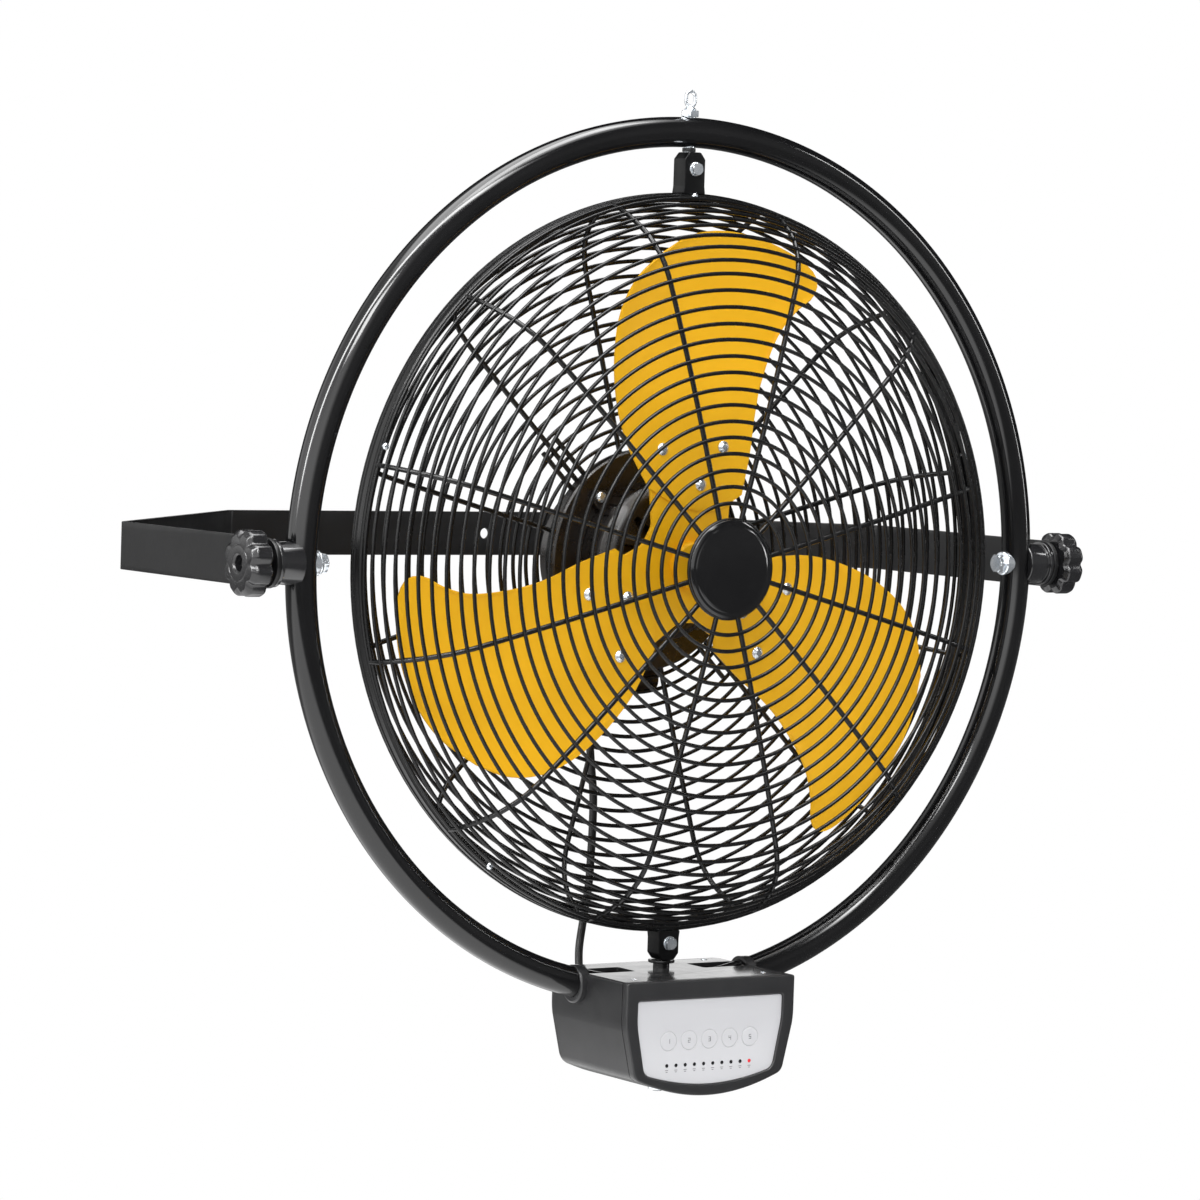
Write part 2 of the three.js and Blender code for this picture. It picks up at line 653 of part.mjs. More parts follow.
function badge() {
  const back = FRONT_FACE - WIRE_W - CLEAR;
  const r = BADGE_D / 2;
  const front = back - BADGE_THICK;
  return welded(revolveY([
    [0, front], [r - 6, front + 0.5], [r - 1.6, front + 1.8], [r, front + 3.4], [r, back], [0, back],
  ], 24));
}

// ------------------------------------------------------------------ rotor
// Blade edges in the plane of the fan, for the blade that points straight up, as shares of
// the radius that its tip sweeps.
const edge = (pts) => new THREE.CatmullRomCurve3(
  pts.map(([x, z]) => new THREE.Vector3(x * BLADE_R, z * BLADE_R, 0)));
const LEADING = edge([
  [-0.157, 0.226], [-0.242, 0.363], [-0.286, 0.504], [-0.298, 0.629], [-0.282, 0.754],
  [-0.234, 0.859], [-0.153, 0.94]]);
const TRAILING = edge([
  [0.177, 0.21], [0.202, 0.339], [0.214, 0.444], [0.242, 0.565], [0.298, 0.694],
  [0.371, 0.77], [0.44, 0.827]]);
const TIP = edge([
  [-0.153, 0.94], [-0.032, 0.988], [0.093, 1], [0.218, 0.984], [0.323, 0.952],
  [0.403, 0.911], [0.44, 0.827]]);
const ROOT = edge([[-0.157, 0.226], [-0.048, 0.177], [0.081, 0.161], [0.177, 0.21]]);

function bladePlate() {
  const rows = 7;
  const cols = 5;
  const at3 = (u, v) => {
    const l = LEADING.getPointAt(v);
    const r = TRAILING.getPointAt(v);
    const t = TIP.getPointAt(u);
    const b = ROOT.getPointAt(u);
    const corner = (p, q, w) => p.clone().lerp(q, w);
    const low = corner(ROOT.getPointAt(0), ROOT.getPointAt(1), u);
    const high = corner(TIP.getPointAt(0), TIP.getPointAt(1), u);
    const p = corner(l, r, u).add(corner(b, t, v)).sub(corner(low, high, v));
    // hollow toward the front, flat over the rivets at the root
    const rise = (end) => THREE.MathUtils.smoothstep(p.y, SPIDER_REACH + 10, end * BLADE_R);
    const hollow = BLADE_CAMBER * 4 * u * (1 - u) * rise(0.706);
    const twist = -BLADE_PITCH * p.x * rise(0.645);
    return [p.x, BLADE_Y + hollow + twist, p.y];
  };
  const pos = [];
  const index = [];
  for (let j = 0; j <= rows; j++) {
    for (let i = 0; i <= cols; i++) {
      const [x, y, z] = at3(i / cols, j / rows);
      pos.push(x, y, z, x, y + BLADE_THICK, z);
    }
  }
  const id = (i, j, side) => 2 * (j * (cols + 1) + i) + side;
  const quad = (a, b, c, d) => index.push(a, b, c, a, c, d);
  for (let j = 0; j < rows; j++) {
    for (let i = 0; i < cols; i++) {
      quad(id(i, j, 0), id(i + 1, j, 0), id(i + 1, j + 1, 0), id(i, j + 1, 0));
      quad(id(i, j, 1), id(i, j + 1, 1), id(i + 1, j + 1, 1), id(i + 1, j, 1));
    }
    quad(id(0, j, 0), id(0, j + 1, 0), id(0, j + 1, 1), id(0, j, 1));
    quad(id(cols, j, 0), id(cols, j, 1), id(cols, j + 1, 1), id(cols, j + 1, 0));
  }
  for (let i = 0; i < cols; i++) {
    quad(id(i, 0, 0), id(i, 0, 1), id(i + 1, 0, 1), id(i + 1, 0, 0));
    quad(id(i, rows, 0), id(i + 1, rows, 0), id(i + 1, rows, 1), id(i, rows, 1));
  }
  return outward(pos, index);
}

function spider() {
  const [y0, y1] = [SPIDER_Y, SPIDER_Y + SPIDER_THICK];
  let body = join(
    solid(rodY(SPIDER_R * 2, y0, y1, 0, 0, 18)),
    solid(rodY(HUB_D, y0 - 8, y0 - 8 + HUB_LENGTH, 0, 0, 16)),
  );
  for (let k = 0; k < BLADES; k++) {
    const turn = (g) => g.rotateY((2 * Math.PI * k) / BLADES);
    const arm = polygon([
      [-30, 20], [30, 20], [36, SPIDER_REACH - 18], [33, SPIDER_REACH],
      [-35, SPIDER_REACH], [-38, SPIDER_REACH - 18],
    ]);
    body = body.add(solid(turn(slabY(arm, y0, y1))));
  }
  return surface(body.subtract(solid(rodY(SHAFT_D + 2 * CLEAR, y0 - 20, y1 + 20, 0, 0, 12))));
}

// ------------------------------------------------------------------ motor
function motorBody() {
  const [f, b] = [MOTOR_FRONT, PLATE_FRONT - CLEAR];
  let body = solid(revolveY([
    [0, f], [MOTOR_R * 0.5, f], [MOTOR_R * 0.88, f + 4], [MOTOR_R, f + 12], [MOTOR_R, b], [0, b],
  ], 24));
  for (let k = 0; k < 4; k++) {
    const turn = (g) => g.rotateY(Math.PI / 4 + (Math.PI * k) / 2);
    body = body.add(solid(turn(box(-7, 7, b - EAR_THICK, b, MOTOR_R - 8, EAR_R + 6))));
  }
  for (let k = 0; k < BELL_SLOTS; k++) {
    const slot = box(-3, 3, f - 1, f + 9, MOTOR_R * 0.42, MOTOR_R * 0.8);
    body = body.subtract(solid(slot.rotateY((2 * Math.PI * (k + 0.5)) / BELL_SLOTS)));
  }
  return surface(body.subtract(solid(rodY(SHAFT_D + 2 * CLEAR, f - 1, f + 20, 0, 0, 12))));
}
function motorPlate() {
  const [f, b] = [PLATE_FRONT, PLATE_BACK];
  return welded(revolveY([
    [0, f], [PLATE_R - 2, f], [PLATE_R, f + 2], [PLATE_R, b], [CAN_R + 6, b], [CAN_R, b + 6],
    [CAN_R, CAN_BACK - 7], [CAN_R - 7, CAN_BACK], [0, CAN_BACK],
  ], 28));
}
function terminalBox() {
  const w = TERMINAL_W / 2;
  const low = -TERMINAL_REACH;
  const shape = new THREE.Shape();
  shape.moveTo(-w, -CAN_R + 16);
  shape.lineTo(-w, low + 9);
  shape.quadraticCurveTo(-w, low, -w + 9, low);
  shape.lineTo(w - 9, low);
  shape.quadraticCurveTo(w, low, w, low + 9);
  shape.lineTo(w, -CAN_R + 16);
  const [f, b] = [TERMINAL_FRONT, TERMINAL_FRONT + TERMINAL_D];
  const can = rodY(2 * (CAN_R + CLEAR), f - 5, b + 5, 0, 0, 28);
  return surface(cut(solid(slabY(shape, f, b)), solid(can)));
}
const gland = () => welded(revolveZ([
  [0, 0], [GLAND_D / 2, 0], [GLAND_D / 2, 3], [GLAND_D / 2 - 1.6, 3.6],
  [GLAND_D / 2 - 2.6, GLAND_LENGTH], [0, GLAND_LENGTH],
], 10));

// ------------------------------------------------------------------ control box
// Outline of the box's face: straight top, upright sides, tapered lower sides and an
// arched bottom. Each inset moves that side of the outline inward.
function boxOutline(side, top, bottom, corner = 5) {
  const a = [BOX_HALF - side, BOX_TOP - top];
  const b = [BOX_HALF - side, BOX_SHOULDER];
  const c = [BOX_FOOT_HALF - side * 0.85, BOX_FOOT + bottom * 0.45];
  const low = BOX_BOTTOM + bottom;
  const shape = new THREE.Shape();
  shape.moveTo(-a[0] + 2, a[1]);
  shape.lineTo(a[0] - 2, a[1]);
  shape.quadraticCurveTo(a[0], a[1], a[0], a[1] - 2);
  shape.lineTo(b[0], b[1]);
  shape.lineTo(c[0] + 1.1, c[1] + corner);
  shape.quadraticCurveTo(c[0], c[1], c[0] - corner, c[1] - 1.7);
  shape.quadraticCurveTo(c[0] * 0.45, low, 0, low);
  shape.quadraticCurveTo(-c[0] * 0.45, low, -c[0] + corner, c[1] - 1.7);
  shape.quadraticCurveTo(-c[0], c[1], -c[0] - 1.1, c[1] + corner);
  shape.lineTo(-b[0], b[1]);
  shape.lineTo(-a[0], a[1] - 2);
  shape.quadraticCurveTo(-a[0], a[1], -a[0] + 2, a[1]);
  return shape;
}
const panelOutline = (grow) => boxOutline(
  PANEL_INSET - grow, PANEL_TOP_INSET - grow, PANEL_BOTTOM_INSET - grow, 4);

function boxShell() {
  const w = BOX_WALL;
  const shellBack = BOX_BACK;
  const tubeZ = -Math.sqrt(RING_R ** 2 - BOX_HALF ** 2);
  let body = cut(
    solid(slabY(boxOutline(0, 0, 0), SHELL_FRONT, shellBack)),
    solid(slabY(boxOutline(w, w, w), SHELL_FRONT - 1, shellBack - w)),
  );
  for (const s of [-1, 1]) {
    const [x0, x1] = s > 0 ? [BOX_HALF - 1, BOX_HALF + BOSS_OUT] : [-BOX_HALF - BOSS_OUT, 1 - BOX_HALF];
    body = body.add(solid(rodX(BOSS_D, x0, x1, 0, tubeZ - 0.6, 16)));
    const [t0, t1] = s > 0 ? [SLOT_FROM, BOX_HALF - w] : [w - BOX_HALF, -SLOT_FROM];
    body = body.subtract(solid(box(t0, t1, -SLOT_HALF, SLOT_HALF, BOX_TOP - w - 1, BOX_TOP + 1)));
  }
  // seat for the gear motor, rising from the arched floor
  const seatTop = GEARMOTOR_TOP - GEARMOTOR_H - CLEAR;
  const seat = box(-CRANK_SPAN - 12, -CRANK_SPAN + 12, -14, 14, BOX_BOTTOM + 2, seatTop);
  body = body.add(solid(seat).intersect(solid(slabY(boxOutline(1, 1, 1), SHELL_FRONT, shellBack))));
  return surface(cut(
    body,
    ringSolid(CLEAR),
    solid(rodZ(PIVOT_NECK_D + 2 * CLEAR, BOX_TOP - w - 1, BOX_TOP + 1, 0, 0, 12)),
    solid(rodZ(PIVOT_END_D + 2 * CLEAR, BOX_BOTTOM - 1, BOX_BOTTOM + w + 1, 0, 0, 10)),
  ));
}

function boxBezel() {
  return surface(cut(
    solid(slabY(boxOutline(0, 0, 0), BOX_FRONT, SHELL_FRONT - CLEAR)),
    solid(slabY(panelOutline(0), BOX_FRONT - 1, SHELL_FRONT + 1)),
  ));
}

const buttonX = (k) => (k - (BUTTONS - 1) / 2) * BUTTON_PITCH;
function panelPlate() {
  const mid = PANEL_FRONT + PANEL_THICK;
  let body = join(
    solid(slabY(panelOutline(-CLEAR), PANEL_FRONT, mid + 0.01)),
    solid(slabY(panelOutline(3), mid, PANEL_BACK)),
  );
  for (let k = 0; k < BUTTONS; k++) {
    body = body.subtract(solid(
      rodY(BUTTON_D + 2 * CLEAR, PANEL_FRONT - 1, PANEL_BACK + 1, buttonX(k), BUTTON_Z, 12)));
  }
  for (const [x, z] of PCB_POSTS) {
    body = body.add(solid(rodY(4, PANEL_BACK - 1, PCB_FRONT - CLEAR, x, z, 6)));
  }
  return surface(body);
}
const PCB_TOP = BOX_TOP - PCB_DROP;
const PCB_POSTS = [-1, 1].flatMap((s) => [
  [s * (PCB_WIDTH / 2 - 6), PCB_TOP - 4], [s * (PCB_WIDTH / 2 - 10), PCB_TOP - PCB_HEIGHT + 4]]);
const pcb = () => box(
  -PCB_WIDTH / 2, PCB_WIDTH / 2, PCB_FRONT, PCB_FRONT + PCB_THICK, PCB_TOP - PCB_HEIGHT, PCB_TOP);

function button() {
  const r = BUTTON_D / 2;
  const front = PANEL_FRONT - BUTTON_PROUD;
  const back = PANEL_BACK + CLEAR;
  const end = PCB_FRONT - BUTTON_TRAVEL - CLEAR;
  return welded(revolveY([
    [0, front], [r, front], [r, back], [r + 1, back], [r + 1, back + 1],
    [2, back + 1], [2, end], [0, end],
  ], 12));
}

// ------------------------------------------------------------------ lower pivot and drive
const LOW_PLATE = -BOX_TOP - 6.3;      // lower bracket's bored face, below the centre
const CROSS_LOW = LOW_PLATE - BRACKET_WALL - LOCK_NUT_H - CROSS_BOLT_D - 0.2;

// Pivot shaft: stud in the bracket, flange, neck through the box's top, then down through
// the ring tube and the drive lever to the nut under the box.
function pivotShaft() {
  const [stud, neck, rod, tail] = [EYE_SHANK_D / 2, PIVOT_NECK_D / 2, PIVOT_SHAFT_D / 2, PIVOT_END_D / 2];
  const top = -(CROSS_LOW + CROSS_BOLT_D / 2 + 2);
  const flange = -LOW_PLATE - CLEAR;
  return welded(revolveZ([
    [0, top], [stud, top], [stud, flange], [PIVOT_FLANGE_D / 2, flange],
    [PIVOT_FLANGE_D / 2, flange - 2.2], [neck, flange - 2.2], [neck, BOX_TOP - BOX_WALL - 0.6],
    [rod, BOX_TOP - BOX_WALL - 0.6], [rod, GEARMOTOR_TOP], [tail, GEARMOTOR_TOP],
    [tail, BOX_BOTTOM - CLEAR - END_NUT_H - 1], [0, BOX_BOTTOM - CLEAR - END_NUT_H - 1],
  ], 12));
}

// Crank arm or lever: a hub, a bar toward the front and a pin down into the link.
function driveArm(x, bore) {
  const [z0, z1] = [CRANK_TOP - CRANK_THICK, CRANK_TOP];
  let body = join(
    solid(slabZ(barShape(x, 0, x, -CRANK_R, 5.5), z0, z1)),
    solid(rodZ(18, z0, z1, x, 0, 12)),
    solid(rodZ(CRANK_PIN_D, z0 - CLEAR - LINK_THICK - 0.5, z0 + 1, x, -CRANK_R, 10)),
  );
  if (bore) body = body.subtract(solid(rodZ(bore, z0 - 1, z1 + 1, x, 0, 12)));
  return body;
}
function driveLink() {
  const z1 = CRANK_TOP - CRANK_THICK - CLEAR;
  const bar = barShape(-CRANK_SPAN, -CRANK_R, 0, -CRANK_R, 5);
  return surface(cut(
    solid(slabZ(bar, z1 - LINK_THICK, z1)),
    solid(rodZ(CRANK_PIN_D + 2 * CLEAR, z1 - 20, z1 + 2, -CRANK_SPAN, -CRANK_R, 10)),
    solid(rodZ(CRANK_PIN_D + 4 * CLEAR, z1 - 20, z1 + 2, 0, -CRANK_R, 10)),
  ));
}
const crank = () => surface(driveArm(-CRANK_SPAN, 0).add(
  solid(rodZ(6, GEARMOTOR_TOP + 4 + CLEAR, CRANK_TOP - 1, -CRANK_SPAN, 0, 10))));
const lever = () => surface(driveArm(0, PIVOT_SHAFT_D + 2 * CLEAR));
const gearMotor = () => surface(join(
  solid(rodZ(GEARMOTOR_D, GEARMOTOR_TOP - GEARMOTOR_H, GEARMOTOR_TOP, -CRANK_SPAN, 0, 18)),
  solid(rodZ(12, GEARMOTOR_TOP - 1, GEARMOTOR_TOP + 4, -CRANK_SPAN, 0, 10)),
));

// ------------------------------------------------------------------ motor lead
// Hangs from the terminal box behind the rear guard and loops into the back of the box.
const LEAD_START = -TERMINAL_REACH - 2 * CLEAR - GLAND_LENGTH;
const fall = (x, y, share) => [x, y, LEAD_START + (INLET_Z - LEAD_START) * share];
const LEAD_POINTS = [
  [LEAD_X, LEAD_Y, LEAD_START],
  [LEAD_X, LEAD_Y + 0.4, LEAD_START - 7],
  fall(-18.4, 77, 0.08), fall(-15.4, 82, 0.123), fall(-11.8, 86.2, 0.175), fall(-7.6, 90, 0.235),
  fall(-3.6, 93.4, 0.3), fall(-0.8, 97, 0.395), fall(0.4, 99.8, 0.499), fall(0, 101, 0.602),
  fall(-4.4, 100.2, 0.715), fall(-10, 96, 0.819), fall(-13.6, 86.5, 0.905),
  fall(-14.9, 74, 0.961), fall(-15, 63.4, 0.989),
  [INLET_X, BOX_BACK + CLEAR + GLAND_LENGTH + 6, INLET_Z],
  [INLET_X, BOX_BACK + 2 * CLEAR + GLAND_LENGTH, INLET_Z],
];
function motorLead() {
  const path = new THREE.CatmullRomCurve3(LEAD_POINTS.map((p) => new THREE.Vector3(...p)));
  const section = new THREE.Shape();
  for (let i = 0; i < 8; i++) {
    const a = (2 * Math.PI * (i + 0.5)) / 8;
    const p = [(LEAD_D / 2) * Math.cos(a), (LEAD_D / 2) * Math.sin(a)];
    if (i === 0) section.moveTo(...p); else section.lineTo(...p);
  }
  section.closePath();
  return welded(new THREE.ExtrudeGeometry(section, {
    steps: 20, bevelEnabled: false, extrudePath: path,
  }));
}

// ------------------------------------------------------------------ assembly
const fan = new THREE.Group();
fan.add(mesh('bracket_strap', bracketStrap(), 'powder'));

const tilting = new THREE.Group();          // ring frame, origin at the ring's centre
tilting.position.set(0, -PIVOT_TO_WALL, 0);
fan.add(tilting);

tilting.add(mesh('ring_tube', ringTube(), 'powder'));
for (const [side, angle] of [['right', 0], ['left', Math.PI]]) {
  const stack = new THREE.Group();
  stack.rotation.z = angle;
  stack.add(mesh(`tilt_bolt_${side}`, tiltBolt(), 'zinc'));
  stack.add(mesh(`collar_${side}`, collar(), 'plastic'));
  stack.add(mesh(`knob_${side}`, knob(), 'plastic'));
  tilting.add(stack);
}
tilting.add(mesh('eye_bolt', eyeBolt(), 'zinc'));
const nutBore = EYE_SHANK_D + 2 * CLEAR;
tilting.add(mesh('eye_nut', hexNut(
  EYE_NUT_AF, nutBore, RING_OUT + CLEAR, RING_OUT + CLEAR + EYE_NUT_H), 'zinc'));
tilting.add(mesh('top_lock_nut', hexNut(
  LOCK_NUT_AF, nutBore, EYE_END, TOP_PLATE - BRACKET_WALL - CLEAR), 'zinc'));
tilting.add(mesh('top_bush', surface(cut(
  solid(rodZ(TOP_BUSH_D, TOP_PLATE + CLEAR, RING_IN - CLEAR - facet(TOP_BUSH_D / 2), 0, 0, 14)),
  solid(rodZ(nutBore, TOP_PLATE, RING_IN, 0, 0, 10)),
)), 'plastic'));

tilting.add(mesh('box_shell', boxShell(), 'plastic'));
tilting.add(mesh('box_bezel', boxBezel(), 'plastic'));
tilting.add(mesh('panel_plate', panelPlate(), 'panel'));
tilting.add(mesh('circuit_board', pcb(), 'board'));
for (let k = 0; k < BUTTONS; k++) {
  const m = mesh(`button_${k + 1}`, button(), 'panel');
  m.position.set(buttonX(k), 0, BUTTON_Z);
  tilting.add(m);
}
tilting.add(mesh('gear_motor', gearMotor(), 'zinc'));
tilting.add(mesh('drive_crank', crank(), 'zinc'));
tilting.add(mesh('drive_link', driveLink(), 'zinc'));
for (const [name, x, z, finish] of [
  ['lead_inlet', INLET_X, INLET_Z, 'plastic'], ['mains_inlet', MAINS_X, INLET_Z, 'plastic'],
]) {
  const m = mesh(name, gland(), finish);
  m.rotation.x = -Math.PI / 2;
  m.position.set(x, BOX_BACK + CLEAR, z);
  tilting.add(m);
}
tilting.add(mesh('motor_lead', motorLead(), 'lead'));

const head = new THREE.Group();             // fan head, swings about Z
tilting.add(head);
head.add(mesh('guard_rim', guardRim(), 'powder'));
head.add(mesh('front_guard', frontGuard(), 'wire'));
head.add(mesh('rear_guard', rearGuard(), 'wire'));
head.add(mesh('guard_badge', badge(), 'gloss'));
const rimSeat = RIM_R + CLEAR;
head.add(mesh('top_bracket', pivotBracket(
  1, rimSeat, TOP_PLATE, EYE_SHANK_D + 2 * CLEAR, CROSS_TOP), 'powder'));
head.add(mesh('bottom_bracket', pivotBracket(
  -1, rimSeat, LOW_PLATE, EYE_SHANK_D + 2 * CLEAR, CROSS_LOW), 'powder'));
head.add(mesh('top_cross_bolt', crossBolt(CROSS_TOP), 'zinc'));
head.add(mesh('bottom_cross_bolt', crossBolt(-CROSS_LOW), 'zinc'));
head.add(mesh('pivot_shaft', pivotShaft(), 'powder'));
head.add(mesh('pivot_end_nut', hexNut(END_NUT_AF, PIVOT_END_D + 2 * CLEAR,
  BOX_BOTTOM - CLEAR - END_NUT_H, BOX_BOTTOM - CLEAR), 'zinc'));
head.add(mesh('drive_lever', lever(), 'zinc'));
head.add(mesh('motor_body', motorBody(), 'motor'));
head.add(mesh('motor_plate', motorPlate(), 'motor'));
head.add(mesh('terminal_box', terminalBox(), 'motor'));
const motorGland = mesh('motor_gland', gland(), 'plastic');
motorGland.rotation.x = Math.PI;
motorGland.position.set(LEAD_X, LEAD_Y, -TERMINAL_REACH - CLEAR);
head.add(motorGland);

const rotor = new THREE.Group();            // spins about Y
head.add(rotor);
rotor.add(mesh('motor_shaft', rodY(SHAFT_D, SPIDER_Y - 12, MOTOR_FRONT + 18, 0, 0, 12), 'zinc'));
rotor.add(mesh('blade_spider', spider(), 'yellow'));
const bladeShape = bladePlate();
for (let k = 0; k < BLADES; k++) {
  const m = mesh(`blade_${k + 1}`, bladeShape.clone(), 'yellow');
  m.rotation.y = (2 * Math.PI * k) / BLADES;
  rotor.add(m);
}

export default fan;
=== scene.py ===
"""Wall mounted fan: guarded three-blade head in a tube ring, control box, U-shaped wall bracket.

Lengths are written in millimetres. Pieces of the tilting ring and of the head are drawn round
the ring's centre, which lies 400 mm in front of the wall, and moved there when they are made.
"""
from math import acos, atan2, cos, pi, radians, sin, sqrt, tan

import bmesh
import bpy
from mathutils import Matrix, Vector


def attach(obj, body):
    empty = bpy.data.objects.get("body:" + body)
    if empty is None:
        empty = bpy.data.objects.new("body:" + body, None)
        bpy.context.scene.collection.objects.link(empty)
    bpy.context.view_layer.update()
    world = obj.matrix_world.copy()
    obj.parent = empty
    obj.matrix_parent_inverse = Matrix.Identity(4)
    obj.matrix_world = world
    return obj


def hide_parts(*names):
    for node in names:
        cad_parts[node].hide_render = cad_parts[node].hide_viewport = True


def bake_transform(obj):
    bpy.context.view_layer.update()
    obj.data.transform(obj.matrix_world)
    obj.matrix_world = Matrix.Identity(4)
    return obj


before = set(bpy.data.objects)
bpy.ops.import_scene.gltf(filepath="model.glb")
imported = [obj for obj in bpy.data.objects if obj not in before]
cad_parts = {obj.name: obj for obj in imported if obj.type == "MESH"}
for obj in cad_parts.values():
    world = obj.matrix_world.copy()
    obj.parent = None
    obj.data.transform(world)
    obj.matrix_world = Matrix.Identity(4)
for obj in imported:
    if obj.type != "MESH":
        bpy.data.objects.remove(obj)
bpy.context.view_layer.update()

MM = 0.001
RING_CENTRE = Vector((0, -400, 0))
TAU = 2 * pi

# -------------------- camera and light
scene = bpy.context.scene
scene.view_settings.view_transform = "Standard"


def standing(place, x, y, z):
    """The matrix of an object at a place, with these axes."""
    return Matrix.Translation(place) @ Matrix((x, y, z)).transposed().to_4x4()


# the photograph's camera
EYE = Vector((-2.0546, -3.4474, 0.1853))
right = Vector((0.8296, -0.5573, 0.0339)).normalized()
up = Vector((0.0, 0.0607, 0.9982)).normalized()
forward = up.cross(right)
forward = (forward - 0.0149 * right - 0.0073 * up).normalized()
right = forward.cross(up).normalized()
up = right.cross(forward).normalized()
camera_data = bpy.data.cameras.new("camera")
camera_data.sensor_width = 36.0
camera_data.lens = 151.0
camera_data.clip_end = 60.0
camera = bpy.data.objects.new("camera", camera_data)
camera.matrix_world = standing(EYE, right, up, -forward)
scene.collection.objects.link(camera)
scene.camera = camera


def area_light(name, place, size, power):
    """A rectangular lamp that looks at the ring's centre."""
    data = bpy.data.lights.new(name, "AREA")
    data.shape = "RECTANGLE"
    data.size, data.size_y = size
    data.energy = power
    ob = bpy.data.objects.new(name, data)
    back = (Vector(place) - RING_CENTRE * MM).normalized()
    along_x = Vector((0, 0, 1)).cross(back).normalized()
    ob.matrix_world = standing(place, along_x, back.cross(along_x), back)
    scene.collection.objects.link(ob)


area_light("key", (-1.9, -2.6, 2.3), (1.1, 0.8), 50)
area_light("side", (2.7, -1.5, 1.0), (0.16, 2.2), 18)
area_light("top", (0.2, -0.7, 2.8), (2.0, 0.8), 36)


class Nodes:
    """Short hands for a node tree. An input is set by a value or linked to a socket."""

    def __init__(self, tree):
        self.tree = tree

    def add(self, kind, inputs=(), out=0, **settings):
        node = self.tree.nodes.new("ShaderNode" + kind)
        for key, value in settings.items():
            setattr(node, key, value)
        self.fill(node, dict(inputs))
        return node.outputs[out] if node.outputs else node

    def fill(self, node, inputs):
        for key, value in inputs.items():
            if isinstance(value, bpy.types.NodeSocket):
                self.tree.links.new(value, node.inputs[key])
            else:
                node.inputs[key].default_value = value

    def math(self, kind, *values):
        return self.add("Math", enumerate(values), operation=kind)

    def fade(self, source, low, high, a, b, kind="SMOOTHSTEP"):
        """Goes from a to b as the source goes from low to high."""
        return self.add("MapRange", {"Value": source, "From Min": low, "From Max": high,
                                     "To Min": a, "To Max": b}, interpolation_type=kind)

    def noise(self, scale, detail, rough):
        place = self.add("TexCoord", out="Object")
        return self.add("TexNoise", {"Vector": place, "Scale": scale, "Detail": detail,
                                     "Roughness": rough}, out="Fac")

    def ramp(self, source, low, high, a, b):
        """From colour a at low to colour b at high."""
        colour = self.add("ValToRGB", {"Fac": source}, out="Color")
        for stop, at, tone in zip(colour.node.color_ramp.elements, (low, high), (a, b)):
            stop.position = at
            stop.color = (*tone, 1)
        return colour

    def wear(self, scale, detail, low, high):
        """A roughness that drifts between two values."""
        return self.fade(self.noise(scale, detail, 0.6), 0.3, 0.7, low, high, "LINEAR")

    def bump(self, scale, detail, strength, distance, below=None):
        inputs = {"Height": self.noise(scale, detail, 0.5), "Strength": strength,
                  "Distance": distance}
        if below:
            inputs["Normal"] = below
        return self.add("Bump", inputs)

    def mix(self, share, a, b):
        return self.add("MixShader", {0: share, 1: a, 2: b})


# directions as the camera sees them
SIDEWAYS, AWAY, NEARER = (0.83, -0.557, 0.03), (0.558, 0.828, -0.05), (-0.557, -0.828, 0.05)
CARD_BEHIND = (0.557, 0.826, 0.085)
WHITE = (1, 1, 1, 1)


def studio_world():
    """White for the camera, an even fill for matt surfaces, and for shiny ones a set that is
    bright in front and at the left, dark at the right, behind and below."""
    world = bpy.data.worlds.new("studio")
    scene.world = world
    world.use_nodes = True
    world.node_tree.nodes.clear()
    n = Nodes(world.node_tree)
    coord = n.add("TexCoord")

    def toward(direction):
        return n.add("VectorMath", {0: coord, 1: direction}, "Value", operation="DOT_PRODUCT")

    aside, away, z, hoop = map(toward, (SIDEWAYS, AWAY, (0, 0, 1), NEARER))
    level = n.math("MULTIPLY", n.fade(away, -0.25, 0.45, 2.1, 0.0),
                   n.fade(aside, 0.1, 0.6, 1.0, 0.1))
    level = n.math("MAXIMUM", level, n.fade(aside, -0.6, -0.1, 1.5, 0.0))
    for source, fades in ((away, (0.42, 0.68, 1.0, 0.06)), (z, (-0.85, -0.3, 0.25, 1.0)),
                          (z, (0.25, 0.75, 1.0, 0.4))):
        level = n.math("MULTIPLY", level, n.fade(source, *fades))
    # a low card far behind, which only level faces mirror
    card = n.fade(toward(CARD_BEHIND), 0.984, 0.995, 0.0, 1.25)
    # a curved strip that lays one line of light on the ring, from its left to its top
    strip = n.fade(hoop, 0.46, 0.51, 0.0, 24.0)
    for source, fades in ((hoop, (0.575, 0.625, 1.0, 0.0)), (aside, (0.3, 0.65, 1.0, 0.0)),
                          (z, (0.05, 0.3, 0.0, 1.0))):
        strip = n.math("MULTIPLY", strip, n.fade(source, *fades))
    # a soft box overhead
    overhead = n.math("MULTIPLY", n.fade(z, 0.82, 0.9, 0.0, 6.0),
                      n.fade(aside, 0.2, 0.6, 1.0, 0.15))
    for extra in (card, strip, overhead):
        level = n.math("MAXIMUM", level, extra)

    camera_ray, shiny_ray, through_ray = (n.add("LightPath", out=f"Is {ray} Ray")
                                          for ray in ("Camera", "Glossy", "Transmission"))
    fill = n.add("Background", {"Color": (0.98, 0.985, 1.0, 1), "Strength": 0.98})
    shader = n.mix(shiny_ray, fill, n.add("Background", {"Color": WHITE, "Strength": level}))
    shader = n.mix(n.math("MAXIMUM", camera_ray, through_ray), shader,
                   n.add("Background", {"Color": WHITE, "Strength": 1.0}))
    n.add("OutputWorld", {"Surface": shader})


studio_world()


# -------------------- materials
SLOTS = {}                                   # by material name


